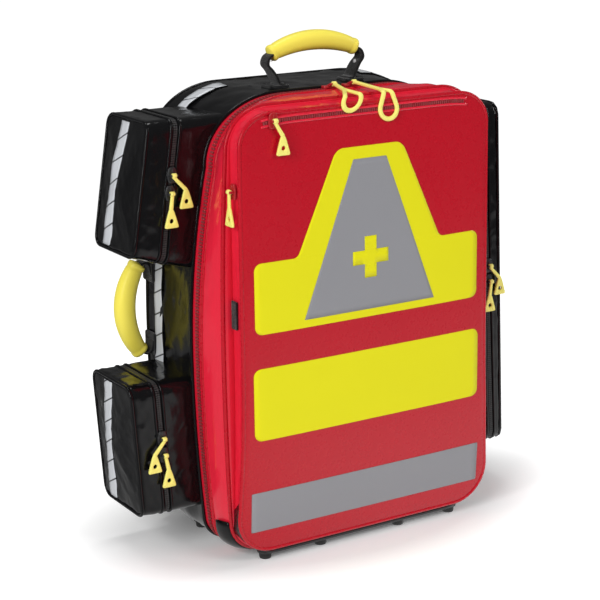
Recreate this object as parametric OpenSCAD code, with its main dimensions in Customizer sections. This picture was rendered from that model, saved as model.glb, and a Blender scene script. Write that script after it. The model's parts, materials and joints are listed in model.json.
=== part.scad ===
// Trauma backpack: black main shell with a red clamshell lid, side pockets, handles and harness.
// Millimetres. +Z is up, the lid faces -Y, and the origin is on the floor under the pack's middle.

/* [Pack] */
// Half of the width at the main zip, the widest place
half_w = 186; // [182:0.5:190]
// Height of the top of the main zip above the floor
top_z = 527; // [522:0.5:530]
// Depth of the black shell behind the main zip
shell_d = 135; // [130:1:142]
// Depth of the red lid, from the main zip to the seam of its front pocket
lid_d = 43; // [40:1:46]
// Depth of the lid's front pocket
pocket_d = 27; // [24:1:30]
// Thickness of the padded shell wall
wall = 4; // [3:0.5:5]
// Thickness of a single coated fabric wall
skin = 3; // [2.5:0.5:3.5]
// Height of the rubber feet
foot_h = 9; // [7:0.5:9]

/* [Side pockets] */
// Radius of a pocket's long edges
pocket_r = 14; // [10:1:16]
// Front edge of the pockets, behind the main zip
pocket_set_back = 12; // [10:1:14]
// Length of the pockets from front to back
pocket_len = 101; // [96:1:104]

/* [Handles] */
// Radius of the side handle's moulded grip; the top one is 1 mm slimmer
grip_r = 12.5; // [11:0.5:13]
// Half of the length of the top grip
top_grip_half = 56; // [50:1:60]
// Half of the length of the side grip
side_grip_half = 52; // [48:1:54]

/* [Zip pulls] */
// Radius of the pin that a pull turns on
pin_r = 1; // [0.9:0.05:1.1]
// Play between the pin and the pull's eye
pin_play = 0.15; // [0.1:0.05:0.2]
// Thickness of a pull tag
tag_t = 3; // [2.5:0.5:3]

/* [Harness] */
// Thickness of the back pads
pad_t = 20; // [16:1:20]
// Thickness of the shoulder straps
strap_t = 14; // [12:1:14]
// Width of the hip belt's webbing
belt_w = 38; // [30:1:40]

/* [Hidden] */

// Places along Y, from the front panel back to the harness
depth_front = 123;
panel_y = -depth_front;
seam_y = panel_y + pocket_d;
zip_y = seam_y + lid_d;
back_y = zip_y + shell_d;
zip_half = 12;
shell_front_y = zip_y + zip_half;
pocket_y0 = zip_y + pocket_set_back;
pocket_y1 = pocket_y0 + pocket_len;
body_gap = 0.4;
thin = 0.1;

// An outline is half width, bottom, top, height of the widest place, narrowing at the bottom and
// at the top, bottom corner radius, top corner radius up and top corner radius across.
zip_outline = [half_w, 12, top_z, 240, 13, 42, 30, 75, 95];
back_outline = [half_w - 1, 12, top_z + 2, 240, 8, 26, 34, 60, 85];
seam_outline = [half_w - 10, 13, top_z - 3, 240, 6, 12, 38, 48, 52];
panel_outline = [half_w - 20.5, 16, top_z - 8, 260, -10, 1, 44, 36, 40];
pocket_outline = [half_w - 23, 14, top_z - 5, 260, -7, 0, 40, 42, 46];

// Half width of an outline at height z: a parabola below and above the widest place
function side_x(o, z) =
    z < o[3]
        ? o[0] - o[4] * pow((o[3] - z) / (o[3] - o[1]), 2)
        : o[0] - o[5] * pow((z - o[3]) / (o[2] - o[3]), 2);

// The right half of an outline, from the middle of its base to the middle of its top
function half_outline(o) =
    let (low = o[1] + o[6], high = o[2] - o[7], xl = side_x(o, low), xh = side_x(o, high))
    concat(
        [for (a = [-90:15:0]) [xl - o[6] + o[6] * cos(a), low + o[6] * sin(a)]],
        [for (i = [1:7]) let (z = low + (high - low) * i / 8) [side_x(o, z), z]],
        [for (a = [0:10:90]) [xh - o[8] + o[8] * cos(a), high + o[7] * sin(a)]]);

// An outline drawn in by a distance, as the list of its points
function inset_outline(o, d) =
    [o[0] - d, o[1] + d, o[2] - d, o[3], o[4], o[5], o[6] - d, o[7] - d, o[8] - d];
function closed_outline(o) =
    let (h = half_outline(o))
    concat(h, [for (i = [len(h) - 1:-1:0]) [-h[i][0], h[i][1]]]);

// A polygon with each corner rounded by a curve that starts and ends a set distance from it
function toward(p, q, d) = p + (q - p) * d / norm(q - p);
function soft_corners(pts, d, steps = 4) =
    [for (i = [0:len(pts) - 1])
        let (p = pts[i],
             a = toward(p, pts[(i + len(pts) - 1) % len(pts)], d),
             b = toward(p, pts[(i + 1) % len(pts)], d))
        for (k = [0:steps])
            let (t = k / steps)
            a * pow(1 - t, 2) + p * 2 * t * (1 - t) + b * pow(t, 2)];
function mirrored(pts) = concat(pts, [for (i = [len(pts) - 1:-1:0]) [-pts[i][0], pts[i][1]]]);
function rect(x0, x1, z0, z1) = [[x0, z0], [x1, z0], [x1, z1], [x0, z1]];

// A flat shape in X and Z, thickened from y0 to y1
module sheet(y0, y1, pts) {
    translate([0, y1, 0]) rotate([90, 0, 0]) linear_extrude(y1 - y0) polygon(pts);
}
module block(x0, x1, y0, y1, z0, z1) {
    translate([x0, y0, z0]) cube([x1 - x0, y1 - y0, z1 - z0]);
}
module rod_x(x0, x1, y, z, r) {
    translate([x0, y, z]) rotate([0, 90, 0]) cylinder(h = x1 - x0, r = r, $fn = 32);
}
module plate(o, y0, y1, d = 0) {
    sheet(y0, y1, closed_outline(inset_outline(o, d)));
}
// A solid between one outline at ya and another at yb, both drawn in by d
function ring_points(o, y, d) = [for (p = closed_outline(inset_outline(o, d))) [p[0], y, p[1]]];
module loft(oa, ya, ob, yb, d = 0) {
    a = ring_points(oa, ya, d);
    n = len(a);
    polyhedron(
        points = concat(a, ring_points(ob, yb, d)),
        faces = concat(
            [[for (i = [n - 1:-1:0]) i]],
            [[for (i = [0:n - 1]) n + i]],
            [for (i = [0:n - 1]) [i, (i + 1) % n, n + (i + 1) % n]],
            [for (i = [0:n - 1]) [i, n + (i + 1) % n, n + i]]));
}
module ring(o, y0, y1, t) {
    difference() {
        plate(o, y0, y1);
        plate(o, y0 - 1, y1 + 1, t);
    }
}
module shell_outer(grow = 0) {
    loft(zip_outline, shell_front_y, back_outline, back_y, -grow);
}
module lid_outer(grow = 0) {
    loft(seam_outline, seam_y, zip_outline, zip_y - zip_half, -grow);
}
module pocket_outer(grow = 0) {
    loft(panel_outline, panel_y, pocket_outline, seam_y, -grow);
}
// Below slope_z the front panel leans back, by slope_in at the height of its lower edge
slope_z = 150;
slope_in = 7;
slope_angle = atan(slope_in / (slope_z - panel_outline[1]));
module lean_back() {
    translate([0, panel_y, slope_z]) rotate([-slope_angle, 0, 0]) translate([0, -panel_y, -slope_z])
        children();
}
module slope_cut(d = 0) {
    lean_back() block(-200, 200, panel_y - 30 + d, panel_y + d, -10, slope_z);
}

// ---- Main shell ----
module shell_body() {
    color([0.05, 0.05, 0.06]) difference() {
        shell_outer();
        loft(zip_outline, shell_front_y - 1, back_outline, back_y - skin, wall);
    }
}
module shell_zip_tape() {
    color([0.7, 0.07, 0.1]) ring(zip_outline, zip_y + body_gap / 2, shell_front_y, skin);
}

tape_y = 31;
tape_w = 19;
tape_low = 64;
tape_t = 0.8;
tape_inner_x = 95;
module reflective_tape(side) {
    color([0.78, 0.79, 0.8]) intersection() {
        difference() {
            shell_outer(tape_t);
            shell_outer();
        }
        block(min(side * tape_inner_x, side * 220), max(side * tape_inner_x, side * 220),
            tape_y, tape_y + tape_w, tape_low, top_z + 20);
    }
}
module reflective_tapes() {
    for (side = [-1, 1]) reflective_tape(side);
}

guard_z = foot_h;
guard_t = 2.7;
module base_guard(half, y0, y1) {
    color([0.07, 0.07, 0.07]) block(-half, half, y0, y1, guard_z, guard_z + guard_t);
}
rear_guard_half = 154;
front_guard_half = 138;
module base_guard_rear() base_guard(rear_guard_half, zip_y + 8, back_y - 6);
module base_guard_front() base_guard(front_guard_half, panel_y + 11, zip_y - 3);

foot_r = 8;
module feet(xs, y) {
    color([0.1, 0.1, 0.1]) for (x = xs, side = [-1, 1])
        translate([side * x, y, 0]) cylinder(h = foot_h, r1 = foot_r - 1, r2 = foot_r, $fn = 48);
}
inner_foot_x = 55;
module rear_feet() feet([rear_guard_half - foot_r, inner_foot_x], back_y - 58);
module front_feet() feet([front_guard_half - foot_r, inner_foot_x], panel_y + 23);

// ---- Inside the shell ----
sheet_t = 3;
sheet_inset = 22;
lining_t = 2;
lining_y = back_y - skin - sheet_t - lining_t - 0.2;
module frame_sheet() {
    color([0.85, 0.85, 0.82])
        plate(back_outline, back_y - skin - sheet_t - 0.1, back_y - skin - 0.1, sheet_inset);
}
module loop_lining() {
    color([0.35, 0.36, 0.38]) plate(back_outline, lining_y, lining_y + lining_t, sheet_inset - 2);
}
shelf_t = 6;
shelf_y = -24;
shelf_lower_z = 186;
shelf_upper_z = 352;
module shelf(z) {
    color([0.3, 0.31, 0.33]) block(-174, 174, shelf_y, lining_y - 0.1, z, z + shelf_t);
}
module shelves() {
    for (z = [shelf_lower_z, shelf_upper_z]) shelf(z);
}
pouch_y = -18;
module pouch(x0, x1, z0, z1) {
    sheet(pouch_y, lining_y - 1, soft_corners(rect(x0, x1, z0, z1), 14));
}
floor_z = 12 + wall + 0.5;
pouch_gap = 3;
pouch_low = 146;
pouch_mid = 168;
pouch_top = 120;
lower_z = shelf_lower_z + shelf_t + 0.5;
upper_z = shelf_upper_z + shelf_t + 0.5;
module pouch_red() color([0.75, 0.1, 0.1]) pouch(-pouch_low, -pouch_gap, floor_z, shelf_lower_z - 4);
module pouch_yellow() color([0.9, 0.75, 0.1]) pouch(pouch_gap, pouch_low, floor_z, shelf_lower_z - 4);
module pouch_blue() color([0.1, 0.3, 0.7]) pouch(-pouch_mid, -pouch_gap, lower_z, shelf_upper_z - 4);
module pouch_green() color([0.1, 0.5, 0.25]) pouch(pouch_gap, pouch_mid, lower_z, shelf_upper_z - 4);
module pouch_clear() color([0.6, 0.65, 0.7]) pouch(-pouch_top, pouch_top, upper_z, 478);

// ---- Top handle: it swings on a line across its two tabs ----
top_handle_y = -7.5;
tab_x = 56;
neck_w = 8;
web_t = 3;
top_grip_z = 578;
grip_sag = 12;
top_grip_arc = (pow(top_grip_half, 2) + pow(grip_sag, 2)) / (2 * grip_sag);
module grip(arc_r, half, r) {
    a = asin(half / arc_r);
    rotate([90, 0, 0]) rotate([0, 0, 90 - a])
        rotate_extrude(angle = 2 * a, $fn = 96) translate([arc_r, 0]) circle(r = r, $fn = 48);
}
// Tabs are sewn on over the shell and its tape, so they are cut to stand just clear of both
clear_of_tape = tape_t + 0.1;
module top_handle_tabs() {
    color([0.08, 0.08, 0.08]) for (side = [-1, 1]) {
        difference() {
            block(side * tab_x - 16, side * tab_x + 16, top_handle_y - 12, top_handle_y + 12,
                top_z - 1, top_z + 4);
            shell_outer(0.2);
        }
        translate([side * tab_x, top_handle_y, top_z + 4]) cylinder(h = 1, r = 4, $fn = 32);
    }
}
top_grip_r = grip_r - 1;
module top_grip_solid() {
    translate([0, top_handle_y, top_grip_z - top_grip_arc]) grip(top_grip_arc, top_grip_half, top_grip_r);
}
// The webbing's S-shaped way from its tab out and back into the grip: X, Z and its width there
top_web_line = [[54, 537, 8], [52.5, 543, 13], [64.5, 555.5, 18], [60, 564, 18], [52, 567.5, 18]];
module web_rod(side, stop) {
    translate([side * stop[0], top_handle_y + stop[2] / 2, stop[1]]) rotate([90, 0, 0])
        cylinder(h = stop[2], r = web_t / 2, $fn = 16);
}
module top_handle_webbing() {
    color([0.07, 0.07, 0.07]) difference() {
        for (side = [-1, 1]) union() for (i = [0:len(top_web_line) - 2]) hull() {
            web_rod(side, top_web_line[i]);
            web_rod(side, top_web_line[i + 1]);
        }
        top_grip_solid();
    }
}
module top_grip() {
    color([0.93, 0.88, 0.3]) top_grip_solid();
}

// ---- Side handle on the left: the same, turned upright ----
side_handle_y = 60;
side_axis_x = -(half_w + 6);
side_handle_z = 273.5;
side_grip_x = -(half_w + 34);
side_sag = 18;
side_grip_arc = (pow(side_grip_half, 2) + pow(side_sag, 2)) / (2 * side_sag);
module side_handle_tabs() {
    color([0.08, 0.08, 0.08]) difference() {
        for (up = [-1, 1])
            block(-(half_w + 2.9), -(half_w - 3), side_handle_y - 12, side_handle_y + 12,
                side_handle_z + up * 45 - 12, side_handle_z + up * 45 + 12);
        shell_outer(clear_of_tape);
    }
}
module side_grip_solid() {
    translate([side_grip_x + side_grip_arc, side_handle_y, side_handle_z])
        rotate([0, -90, 0]) grip(side_grip_arc, side_grip_half, grip_r);
}
module side_handle_webbing() {
    color([0.07, 0.07, 0.07]) difference() {
        for (up = [-1, 1])
            block(side_axis_x - 11, side_axis_x + 1, side_handle_y - neck_w / 4, side_handle_y + neck_w / 4,
                side_handle_z + up * 47 - 6, side_handle_z + up * 47 + 6);
        side_grip_solid();
    }
}
module side_grip() {
    color([0.93, 0.88, 0.3]) side_grip_solid();
}

// ---- Side pockets. Each is side, zip plane top and bottom, outer face top and bottom, bottom, top,
// ---- and how far its bottom drops towards the pack ----
upper_pocket = [-1, 196, 219, 231, 255, 358, 508, 30];
lower_pocket = [-1, 232, 223, 265, 255, 54, 212, 3];
long_pocket = [1, 222, 242, 244, 258, 51, 487, 0];
module disc(r) {
    rotate([0, 90, 0]) cylinder(h = thin, r = r, center = true, $fn = 28);
}
pocket_in_x = 150;
module pocket_shape(p, d) {
    r = pocket_r - d;
    hull() for (y = [pocket_y0 + d + r, pocket_y1 - d - r]) {
        translate([p[0] * (pocket_in_x - d), y, p[5] - p[7] + d + r]) disc(r);
        translate([p[0] * (p[4] - d), y, p[5] + d + r]) disc(r);
        for (x = [pocket_in_x - d, p[3] - d]) translate([p[0] * x, y, p[6] - d - r]) disc(r);
    }
}
function zip_x(p, z) = p[0] * (p[2] + (p[1] - p[2]) * (z - p[5]) / (p[6] - p[5]));
// Everything between the plane that a pocket's zip lies in, moved in by a gap, and a far X
module beside_zip_plane(p, gap, far) {
    low = p[5] - 40;
    high = p[6] + 20;
    x_low = zip_x(p, low) - p[0] * gap;
    x_high = zip_x(p, high) - p[0] * gap;
    sheet(pocket_y0 - 5, pocket_y1 + 5, [[far, low], [x_low, low], [x_high, high], [far, high]]);
}
module pocket_base(p) {
    color([0.05, 0.05, 0.06]) difference() {
        pocket_shape(p, 0);
        pocket_shape(p, skin);
        beside_zip_plane(p, body_gap, p[0] * 300);
        shell_outer(clear_of_tape);
    }
}
module pocket_cover(p) {
    color([0.05, 0.05, 0.06]) difference() {
        pocket_shape(p, 0);
        pocket_shape(p, skin);
        beside_zip_plane(p, 0, p[0] * 100);
    }
}

// A zip slider on a wall that faces -Y: body, two cheeks and the pin that the pull hangs on
slider_w = 12;
slider_h = 16;
slider_t = 3;
eye_half = 2.75;
cheek_t = 1.5;
cheek_in = 3.1;
cheek_mid = cheek_in + cheek_t / 2;
cheek_r = 1.6;
pin_out = 6.5;
module slider_front(x, y, z) {
    color([0.12, 0.12, 0.12]) translate([x, y, z]) {
        block(-slider_w / 2, slider_w / 2, -slider_t, 0, -slider_h / 2, slider_h / 2);
        for (side = [-1, 1])
            block(side * cheek_mid - cheek_t / 2, side * cheek_mid + cheek_t / 2,
                -pin_out - cheek_r, -slider_t + 0.5, -cheek_r, cheek_r);
        rod_x(-cheek_in - 1, cheek_in + 1, -pin_out, 0, pin_r);
    }
}
// A pull tag that hangs from a pin: eye, neck that leans sideways and flared paddle with a round hole
eye_r = 2.8;
neck_len = 16;
neck_half = 2.4;
tag_len = 38;
tag_half = 9;
module pull_tag(x, y, z, lean) {
    color([0.95, 0.93, 0.5]) translate([x, y, z]) difference() {
        union() {
            rod_x(-eye_half, eye_half, 0, 0, eye_r);
            sheet(-tag_t / 2, tag_t / 2,
                [[-1.8, -1], [1.8, -1], [lean + neck_half, -neck_len], [lean + tag_half, -tag_len],
                 [lean - tag_half, -tag_len], [lean - neck_half, -neck_len]]);
        }
        rod_x(-eye_half - 1, eye_half + 1, 0, 0, pin_r + pin_play);
        translate([lean, 0, -tag_len + 8]) rotate([90, 0, 0])
            cylinder(h = 10, r = 2.3, center = true, $fn = 32);
    }
}
slider_gap = 0.6;
pin_drop = 20;
pull_y = pocket_y0 - slider_gap - pin_out;
module pocket_sliders(p, z) {
    for (k = [0, 1])
        slider_front(zip_x(p, z - k * pin_drop), pocket_y0 - slider_gap, z - k * pin_drop);
}
upper_pull_z = 448;
lower_pull_z = 148;
long_pull_z = 285;
module pocket_pull(p, z, k, lean) {
    pull_tag(zip_x(p, z - k * pin_drop), pull_y, z - k * pin_drop, lean);
}
module upper_pocket_base() pocket_base(upper_pocket);
module upper_pocket_cover() {
    pocket_cover(upper_pocket);
    pocket_sliders(upper_pocket, upper_pull_z);
}
module upper_pull_front() pocket_pull(upper_pocket, upper_pull_z, 0, 14);
module upper_pull_rear() pocket_pull(upper_pocket, upper_pull_z, 1, -2);
module lower_pocket_base() pocket_base(lower_pocket);
module lower_pocket_cover() {
    pocket_cover(lower_pocket);
    pocket_sliders(lower_pocket, lower_pull_z);
}
module lower_pull_front() pocket_pull(lower_pocket, lower_pull_z, 0, -13);
module lower_pull_rear() pocket_pull(lower_pocket, lower_pull_z, 1, 3);
module long_pocket_base() pocket_base(long_pocket);
module long_pocket_cover() {
    pocket_cover(long_pocket);
    pocket_sliders(long_pocket, long_pull_z);
}
module long_pull_front() pocket_pull(long_pocket, long_pull_z, 0, 14);
module long_pull_rear() pocket_pull(long_pocket, long_pull_z, 1, -2);

// ---- Lid ----
module lid_zip_tape() {
    color([0.7, 0.07, 0.1]) ring(zip_outline, zip_y - zip_half, zip_y - body_gap / 2, skin);
}
module lid_gusset() {
    color([0.72, 0.06, 0.12]) difference() {
        lid_outer();
        loft(seam_outline, seam_y - 1, zip_outline, zip_y - zip_half + 1, skin);
    }
}
lid_face_inset = skin + 3;
module lid_face() {
    color([0.6, 0.06, 0.1]) plate(seam_outline, seam_y, seam_y + 2.5, lid_face_inset);
}
lid_pocket_t = 4;
lid_pocket_z = [40, 195, 350];
module lid_pockets() {
    color([0.7, 0.75, 0.8]) for (z = lid_pocket_z)
        sheet(seam_y + 2.6, seam_y + 2.6 + lid_pocket_t, soft_corners(rect(-150, 150, z, z + 135), 12));
}
module front_panel() {
    color([0.72, 0.06, 0.12]) difference() {
        pocket_outer();
        slope_cut();
        difference() {
            loft(panel_outline, panel_y + skin, pocket_outline, seam_y + 1, skin);
            slope_cut(skin);
        }
    }
}
corner_guard_z = 56;
corner_guard_t = 1.2;
module corner_guards() {
    color([0.04, 0.04, 0.04]) intersection() {
        difference() {
            pocket_outer(corner_guard_t);
            pocket_outer();
            slope_cut(4);
        }
        union() for (side = [-1, 1])
            block(side * 155 - 35, side * 155 + 35, panel_y + 4, seam_y - 1, 0, corner_guard_z);
    }
}

// Patches on the front panel: band, emblem, tapered inset with a cross cut through it, and stripe
patch_t = 0.6;
emblem_half = 151;
band_half = 154;
stripe_half = 158;
inset_half = [22, 88];
inset_z = [284, 458];
cross_z = 345;
cross_arm = 24;
cross_half = 8;
module panel_patches() {
    y1 = panel_y - 0.05;
    color([0.9, 0.88, 0.12]) sheet(y1 - patch_t, y1,
        soft_corners(rect(-band_half, band_half, 152, 236), 9));
    color([0.9, 0.88, 0.12]) difference() {
        sheet(y1 - patch_t, y1,
            soft_corners(mirrored([[emblem_half, 275], [emblem_half, 356], [96, 356], [44, 472]]), 7));
        sheet(y1 - patch_t - 1, y1 + 1, inset_points());
    }
    color([0.6, 0.6, 0.63]) difference() {
        sheet(y1 - patch_t, y1, inset_points());
        block(-cross_arm, cross_arm, y1 - 2, y1 + 1, cross_z - cross_half, cross_z + cross_half);
        block(-cross_half, cross_half, y1 - 2, y1 + 1, cross_z - cross_arm, cross_z + cross_arm);
    }
    color([0.6, 0.6, 0.63]) lean_back() sheet(y1 - patch_t, y1, rect(-stripe_half, stripe_half, 42, 90));
}
function inset_points() = mirrored([[inset_half[1], inset_z[0]], [inset_half[0], inset_z[1]]]);

// ---- Main zip sliders on top, and the loop pulls that lie over the lid's front edge ----
main_pin_y = zip_y - 9;
main_pin_z = top_z + 6.5;
left_slider_x = -6;
right_slider_x = 21;
module main_slider(x) {
    color([0.75, 0.1, 0.12]) translate([x, 0, 0]) {
        block(-9, 9, zip_y - 5, zip_y + 5, top_z + 0.5, top_z + 4);
        for (side = [-1, 1])
            block(side * cheek_mid - cheek_t / 2, side * cheek_mid + cheek_t / 2,
                main_pin_y - cheek_r, zip_y - 4, top_z + 1.5, main_pin_z + cheek_r);
        rod_x(-cheek_in - 1, cheek_in + 1, main_pin_y, main_pin_z, pin_r);
    }
}
module main_slider_left() main_slider(left_slider_x);
module main_slider_right() main_slider(right_slider_x);

// A flat teardrop: a point of half width tip at s0, and a round end of radius r about s1
loop_len = 50;
loop_half = 14;
loop_band = 5.5;
// Everything leans across by k for each millimetre along, because the pull lies at an angle.
function leaning(pts, k) = [for (p = pts) [p[0] + k * p[1], p[1]]];
module teardrop(s0, tip, s1, r, k) {
    polygon(leaning(concat(
        [[-tip, s0], [tip, s0]],
        [for (a = [-10:20:190]) [r * cos(a), s1 + r * sin(a)]]), k));
}
// The pull's neck and its loop, laid flat: s runs from the pin to the loop's far end
module flat_loop(s0, k) {
    s1 = s0 + loop_len - loop_half;
    difference() {
        union() {
            polygon(leaning([[-2.5, 1.5], [2.5, 1.5], [3, s0 + 2], [-3, s0 + 2]], k));
            teardrop(s0, 3, s1, loop_half, k);
        }
        teardrop(s0 + 12, 1, s1, loop_half - loop_band, k);
    }
}
loop_t = 4;
edge_y = panel_y - 3.2;
drape_drop = 4;
module main_pull(x, s0, k) {
    run = main_pin_y - edge_y;
    slope = atan(drape_drop / run);
    bend = run / cos(slope);
    color([0.95, 0.93, 0.5]) translate([x, main_pin_y, main_pin_z]) difference() {
        union() {
            rod_x(-eye_half, eye_half, 0, 0, eye_r);
            rotate([180 + slope, 0, 0]) translate([0, 0, -loop_t / 2]) linear_extrude(loop_t)
                intersection() {
                    flat_loop(s0, k);
                    translate([-30, 0]) square([60, bend]);
                }
            translate([0, -run, -drape_drop]) rotate([90, 0, 0]) mirror([0, 1, 0])
                translate([0, -bend, -loop_t / 2]) linear_extrude(loop_t)
                    intersection() {
                        flat_loop(s0, k);
                        translate([-30, bend - loop_t / 2]) square([60, 60]);
                    }
        }
        rod_x(-eye_half - 1, eye_half + 1, 0, 0, pin_r + pin_play);
    }
}
module main_pull_left() main_pull(left_slider_x, 32, -0.25);
module main_pull_right() main_pull(right_slider_x, 46, 0.05);

front_zip_z = 511;
front_slider_x = -124;
module front_slider() slider_front(front_slider_x, panel_y - slider_gap, front_zip_z);
module front_pull() pull_tag(front_slider_x, panel_y - slider_gap - pin_out, front_zip_z, 9);

// The front pocket's own zip runs down its left side: slider and pull are turned to face -X
gusset_slider_z = 436;
gusset_slider_y = (panel_y + seam_y) / 2;
gusset_x = -(half_w - 21.1);
module facing_left(z) {
    translate([gusset_x, gusset_slider_y, z]) rotate([0, 0, -90]) children();
}
module gusset_slider() facing_left(gusset_slider_z) slider_front(0, 0, 0);
module gusset_pull() facing_left(gusset_slider_z) pull_tag(0, -pin_out, 0, 0);
label_w = 12;
label_z = 280;
label_h = 32;
module blank_label() {
    color([0.1, 0.1, 0.1])
        block(gusset_x - 0.9, gusset_x, seam_y - label_w - 1, seam_y - 1, label_z, label_z + label_h);
}

// ---- Harness on the back ----
lumbar_t = pad_t + 6;
module back_pads() {
    color([0.1, 0.1, 0.11]) for (side = [-1, 1])
        sheet(back_y + 0.1, back_y + pad_t,
            soft_corners(rect(side * 74 - 44, side * 74 + 44, 156, 462), 20));
    color([0.1, 0.1, 0.11]) sheet(back_y + 0.1, back_y + lumbar_t,
        soft_corners(rect(-128, 128, 52, 142), 20));
}
strap_y = back_y + pad_t + 1;
strap_outline = [[34, 506], [88, 506], [104, 420], [128, 320], [142, 240], [146, 186],
    [98, 186], [92, 240], [78, 320], [56, 410]];
module shoulder_strap(side) {
    color([0.08, 0.08, 0.09]) mirror([side < 0 ? 1 : 0, 0, 0]) {
        sheet(strap_y, strap_y + strap_t, soft_corners(strap_outline, 10));
        block(40, 84, back_y + 0.1, strap_y + 1, 470, 500);
    }
}
module shoulder_strap_left() shoulder_strap(-1);
module shoulder_strap_right() shoulder_strap(1);
strap_web_t = 2;
strap_mid_y = strap_y + strap_t / 2;
module strap_webbing() {
    color([0.07, 0.07, 0.07]) for (side = [0, 1]) mirror([side, 0, 0]) {
        sheet(strap_mid_y - 1, strap_mid_y + 1, [[110, 166], [134, 166], [162, 62], [138, 62]]);
        block(136, 164, back_y + 0.1, strap_mid_y + 1, 46, 63);
    }
}
module strap_adjusters() {
    color([0.05, 0.05, 0.05]) for (side = [0, 1]) mirror([side, 0, 0]) difference() {
        sheet(strap_mid_y - 4, strap_mid_y + 4, soft_corners(rect(104, 140, 166, 185.6), 3));
        block(108, 136, strap_mid_y - 1.5, strap_mid_y + 1.5, 165, 181);
    }
}

// A side-release buckle across X at height z: the socket takes the two prongs of the plug
module buckle_socket(x0, x1, y0, y1, z, w) {
    color([0.04, 0.04, 0.04]) difference() {
        sheet(y0, y1, soft_corners(rect(x0, x1, z - w / 2, z + w / 2), 3));
        block(x0 + 8, x1 + 1, y0 + 2.5, y1 - 2.5, z - w / 2 + 4, z + w / 2 - 4);
    }
}
module buckle_plug(x0, x1, y0, y1, z, w) {
    m = (y0 + y1) / 2;
    color([0.04, 0.04, 0.04]) {
        for (side = [-1, 1])
            block(x0 - 16, x0 + 2, y0 + 3, y1 - 3, z + side * (w / 2 - 8) - 3, z + side * (w / 2 - 8) + 3);
        difference() {
            sheet(y0, y1, soft_corners(rect(x0 + 0.5, x1, z - w / 2, z + w / 2), 3));
            block(x0 + 5, x1 + 1, m - 1.6, m + 1.6, z - w / 2 + 3, z + w / 2 - 3);
        }
    }
}
chest_z = 400;
chest_y0 = strap_y + strap_t + 0.5;
chest_t = 10;
chest_w = 30;
chest_mid = chest_y0 + chest_t / 2;
chest_web_w = 20;
chest_end = 92;
// Webbing from x0 to x1 at height z, and the pad under it at its outer end that carries it
module belt_half(x0, x1, y, z, w) {
    color([0.07, 0.07, 0.07]) block(x0, x1, y - strap_web_t / 2, y + strap_web_t / 2, z - w / 2, z + w / 2);
}
module belt_pad(x, y0, y, z, w) {
    color([0.07, 0.07, 0.07]) block(x - 6, x + 6, y0, y - strap_web_t / 2 - 0.3, z - w / 2, z + w / 2);
}
module chest_webbing() {
    belt_half(-chest_end, -22, chest_mid, chest_z, chest_web_w);
    for (side = [-1, 1]) belt_pad(side * 85, strap_y + strap_t, chest_mid, chest_z, chest_web_w);
}
module chest_buckle_socket() buckle_socket(-22, 8, chest_y0, chest_y0 + chest_t, chest_z, chest_w);
module chest_buckle_plug() {
    buckle_plug(8, 24, chest_y0, chest_y0 + chest_t, chest_z, chest_w);
    belt_half(12, chest_end, chest_mid, chest_z, chest_web_w);
}
hip_z = 96;
hip_y0 = back_y + lumbar_t + 0.6;
hip_t = 13;
hip_mid = hip_y0 + hip_t / 2;
hip_end = 150;
module hip_belt() {
    belt_half(-hip_end, -30, hip_mid, hip_z, belt_w);
    for (side = [-1, 1]) belt_pad(side * 112, back_y + lumbar_t, hip_mid, hip_z, belt_w);
}
module hip_buckle_socket() buckle_socket(-30, 14, hip_y0, hip_y0 + hip_t, hip_z, belt_w + 12);
module hip_buckle_plug() {
    buckle_plug(14, 34, hip_y0, hip_y0 + hip_t, hip_z, belt_w + 12);
    belt_half(18, hip_end, hip_mid, hip_z, belt_w);
}

shell_body();
shell_zip_tape();
reflective_tapes();
base_guard_rear();
rear_feet();
frame_sheet();
loop_lining();
shelves();
pouch_red();
pouch_yellow();
pouch_blue();
pouch_green();
pouch_clear();
top_handle_tabs();
top_handle_webbing();
top_grip();
side_handle_tabs();
side_handle_webbing();
side_grip();
upper_pocket_base();
upper_pocket_cover();
upper_pull_front();
upper_pull_rear();
lower_pocket_base();
lower_pocket_cover();
lower_pull_front();
lower_pull_rear();
long_pocket_base();
long_pocket_cover();
long_pull_front();
long_pull_rear();
back_pads();
shoulder_strap_left();
shoulder_strap_right();
strap_webbing();
strap_adjusters();
chest_webbing();
chest_buckle_socket();
chest_buckle_plug();
hip_belt();
hip_buckle_socket();
hip_buckle_plug();
lid_zip_tape();
lid_gusset();
lid_face();
lid_pockets();
front_panel();
corner_guards();
base_guard_front();
front_feet();
panel_patches();
blank_label();
main_slider_left();
main_slider_right();
main_pull_left();
main_pull_right();
front_slider();
front_pull();
gusset_slider();
gusset_pull();
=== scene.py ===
"""Looks of the trauma backpack: skins, zips, pockets, handles, pulls, harness, lining and light.

Sizes are millimetres in the classes below and become metres when a mesh is made. +Z is up,
the lid faces -Y, the harness faces +Y, and the origin is on the floor under the pack.
"""

import json
import logging
import math
from dataclasses import dataclass, field
from enum import Enum
from typing import Optional, Sequence

import bmesh
import bpy
import numpy as np
from mathutils import Matrix, Vector

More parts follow.
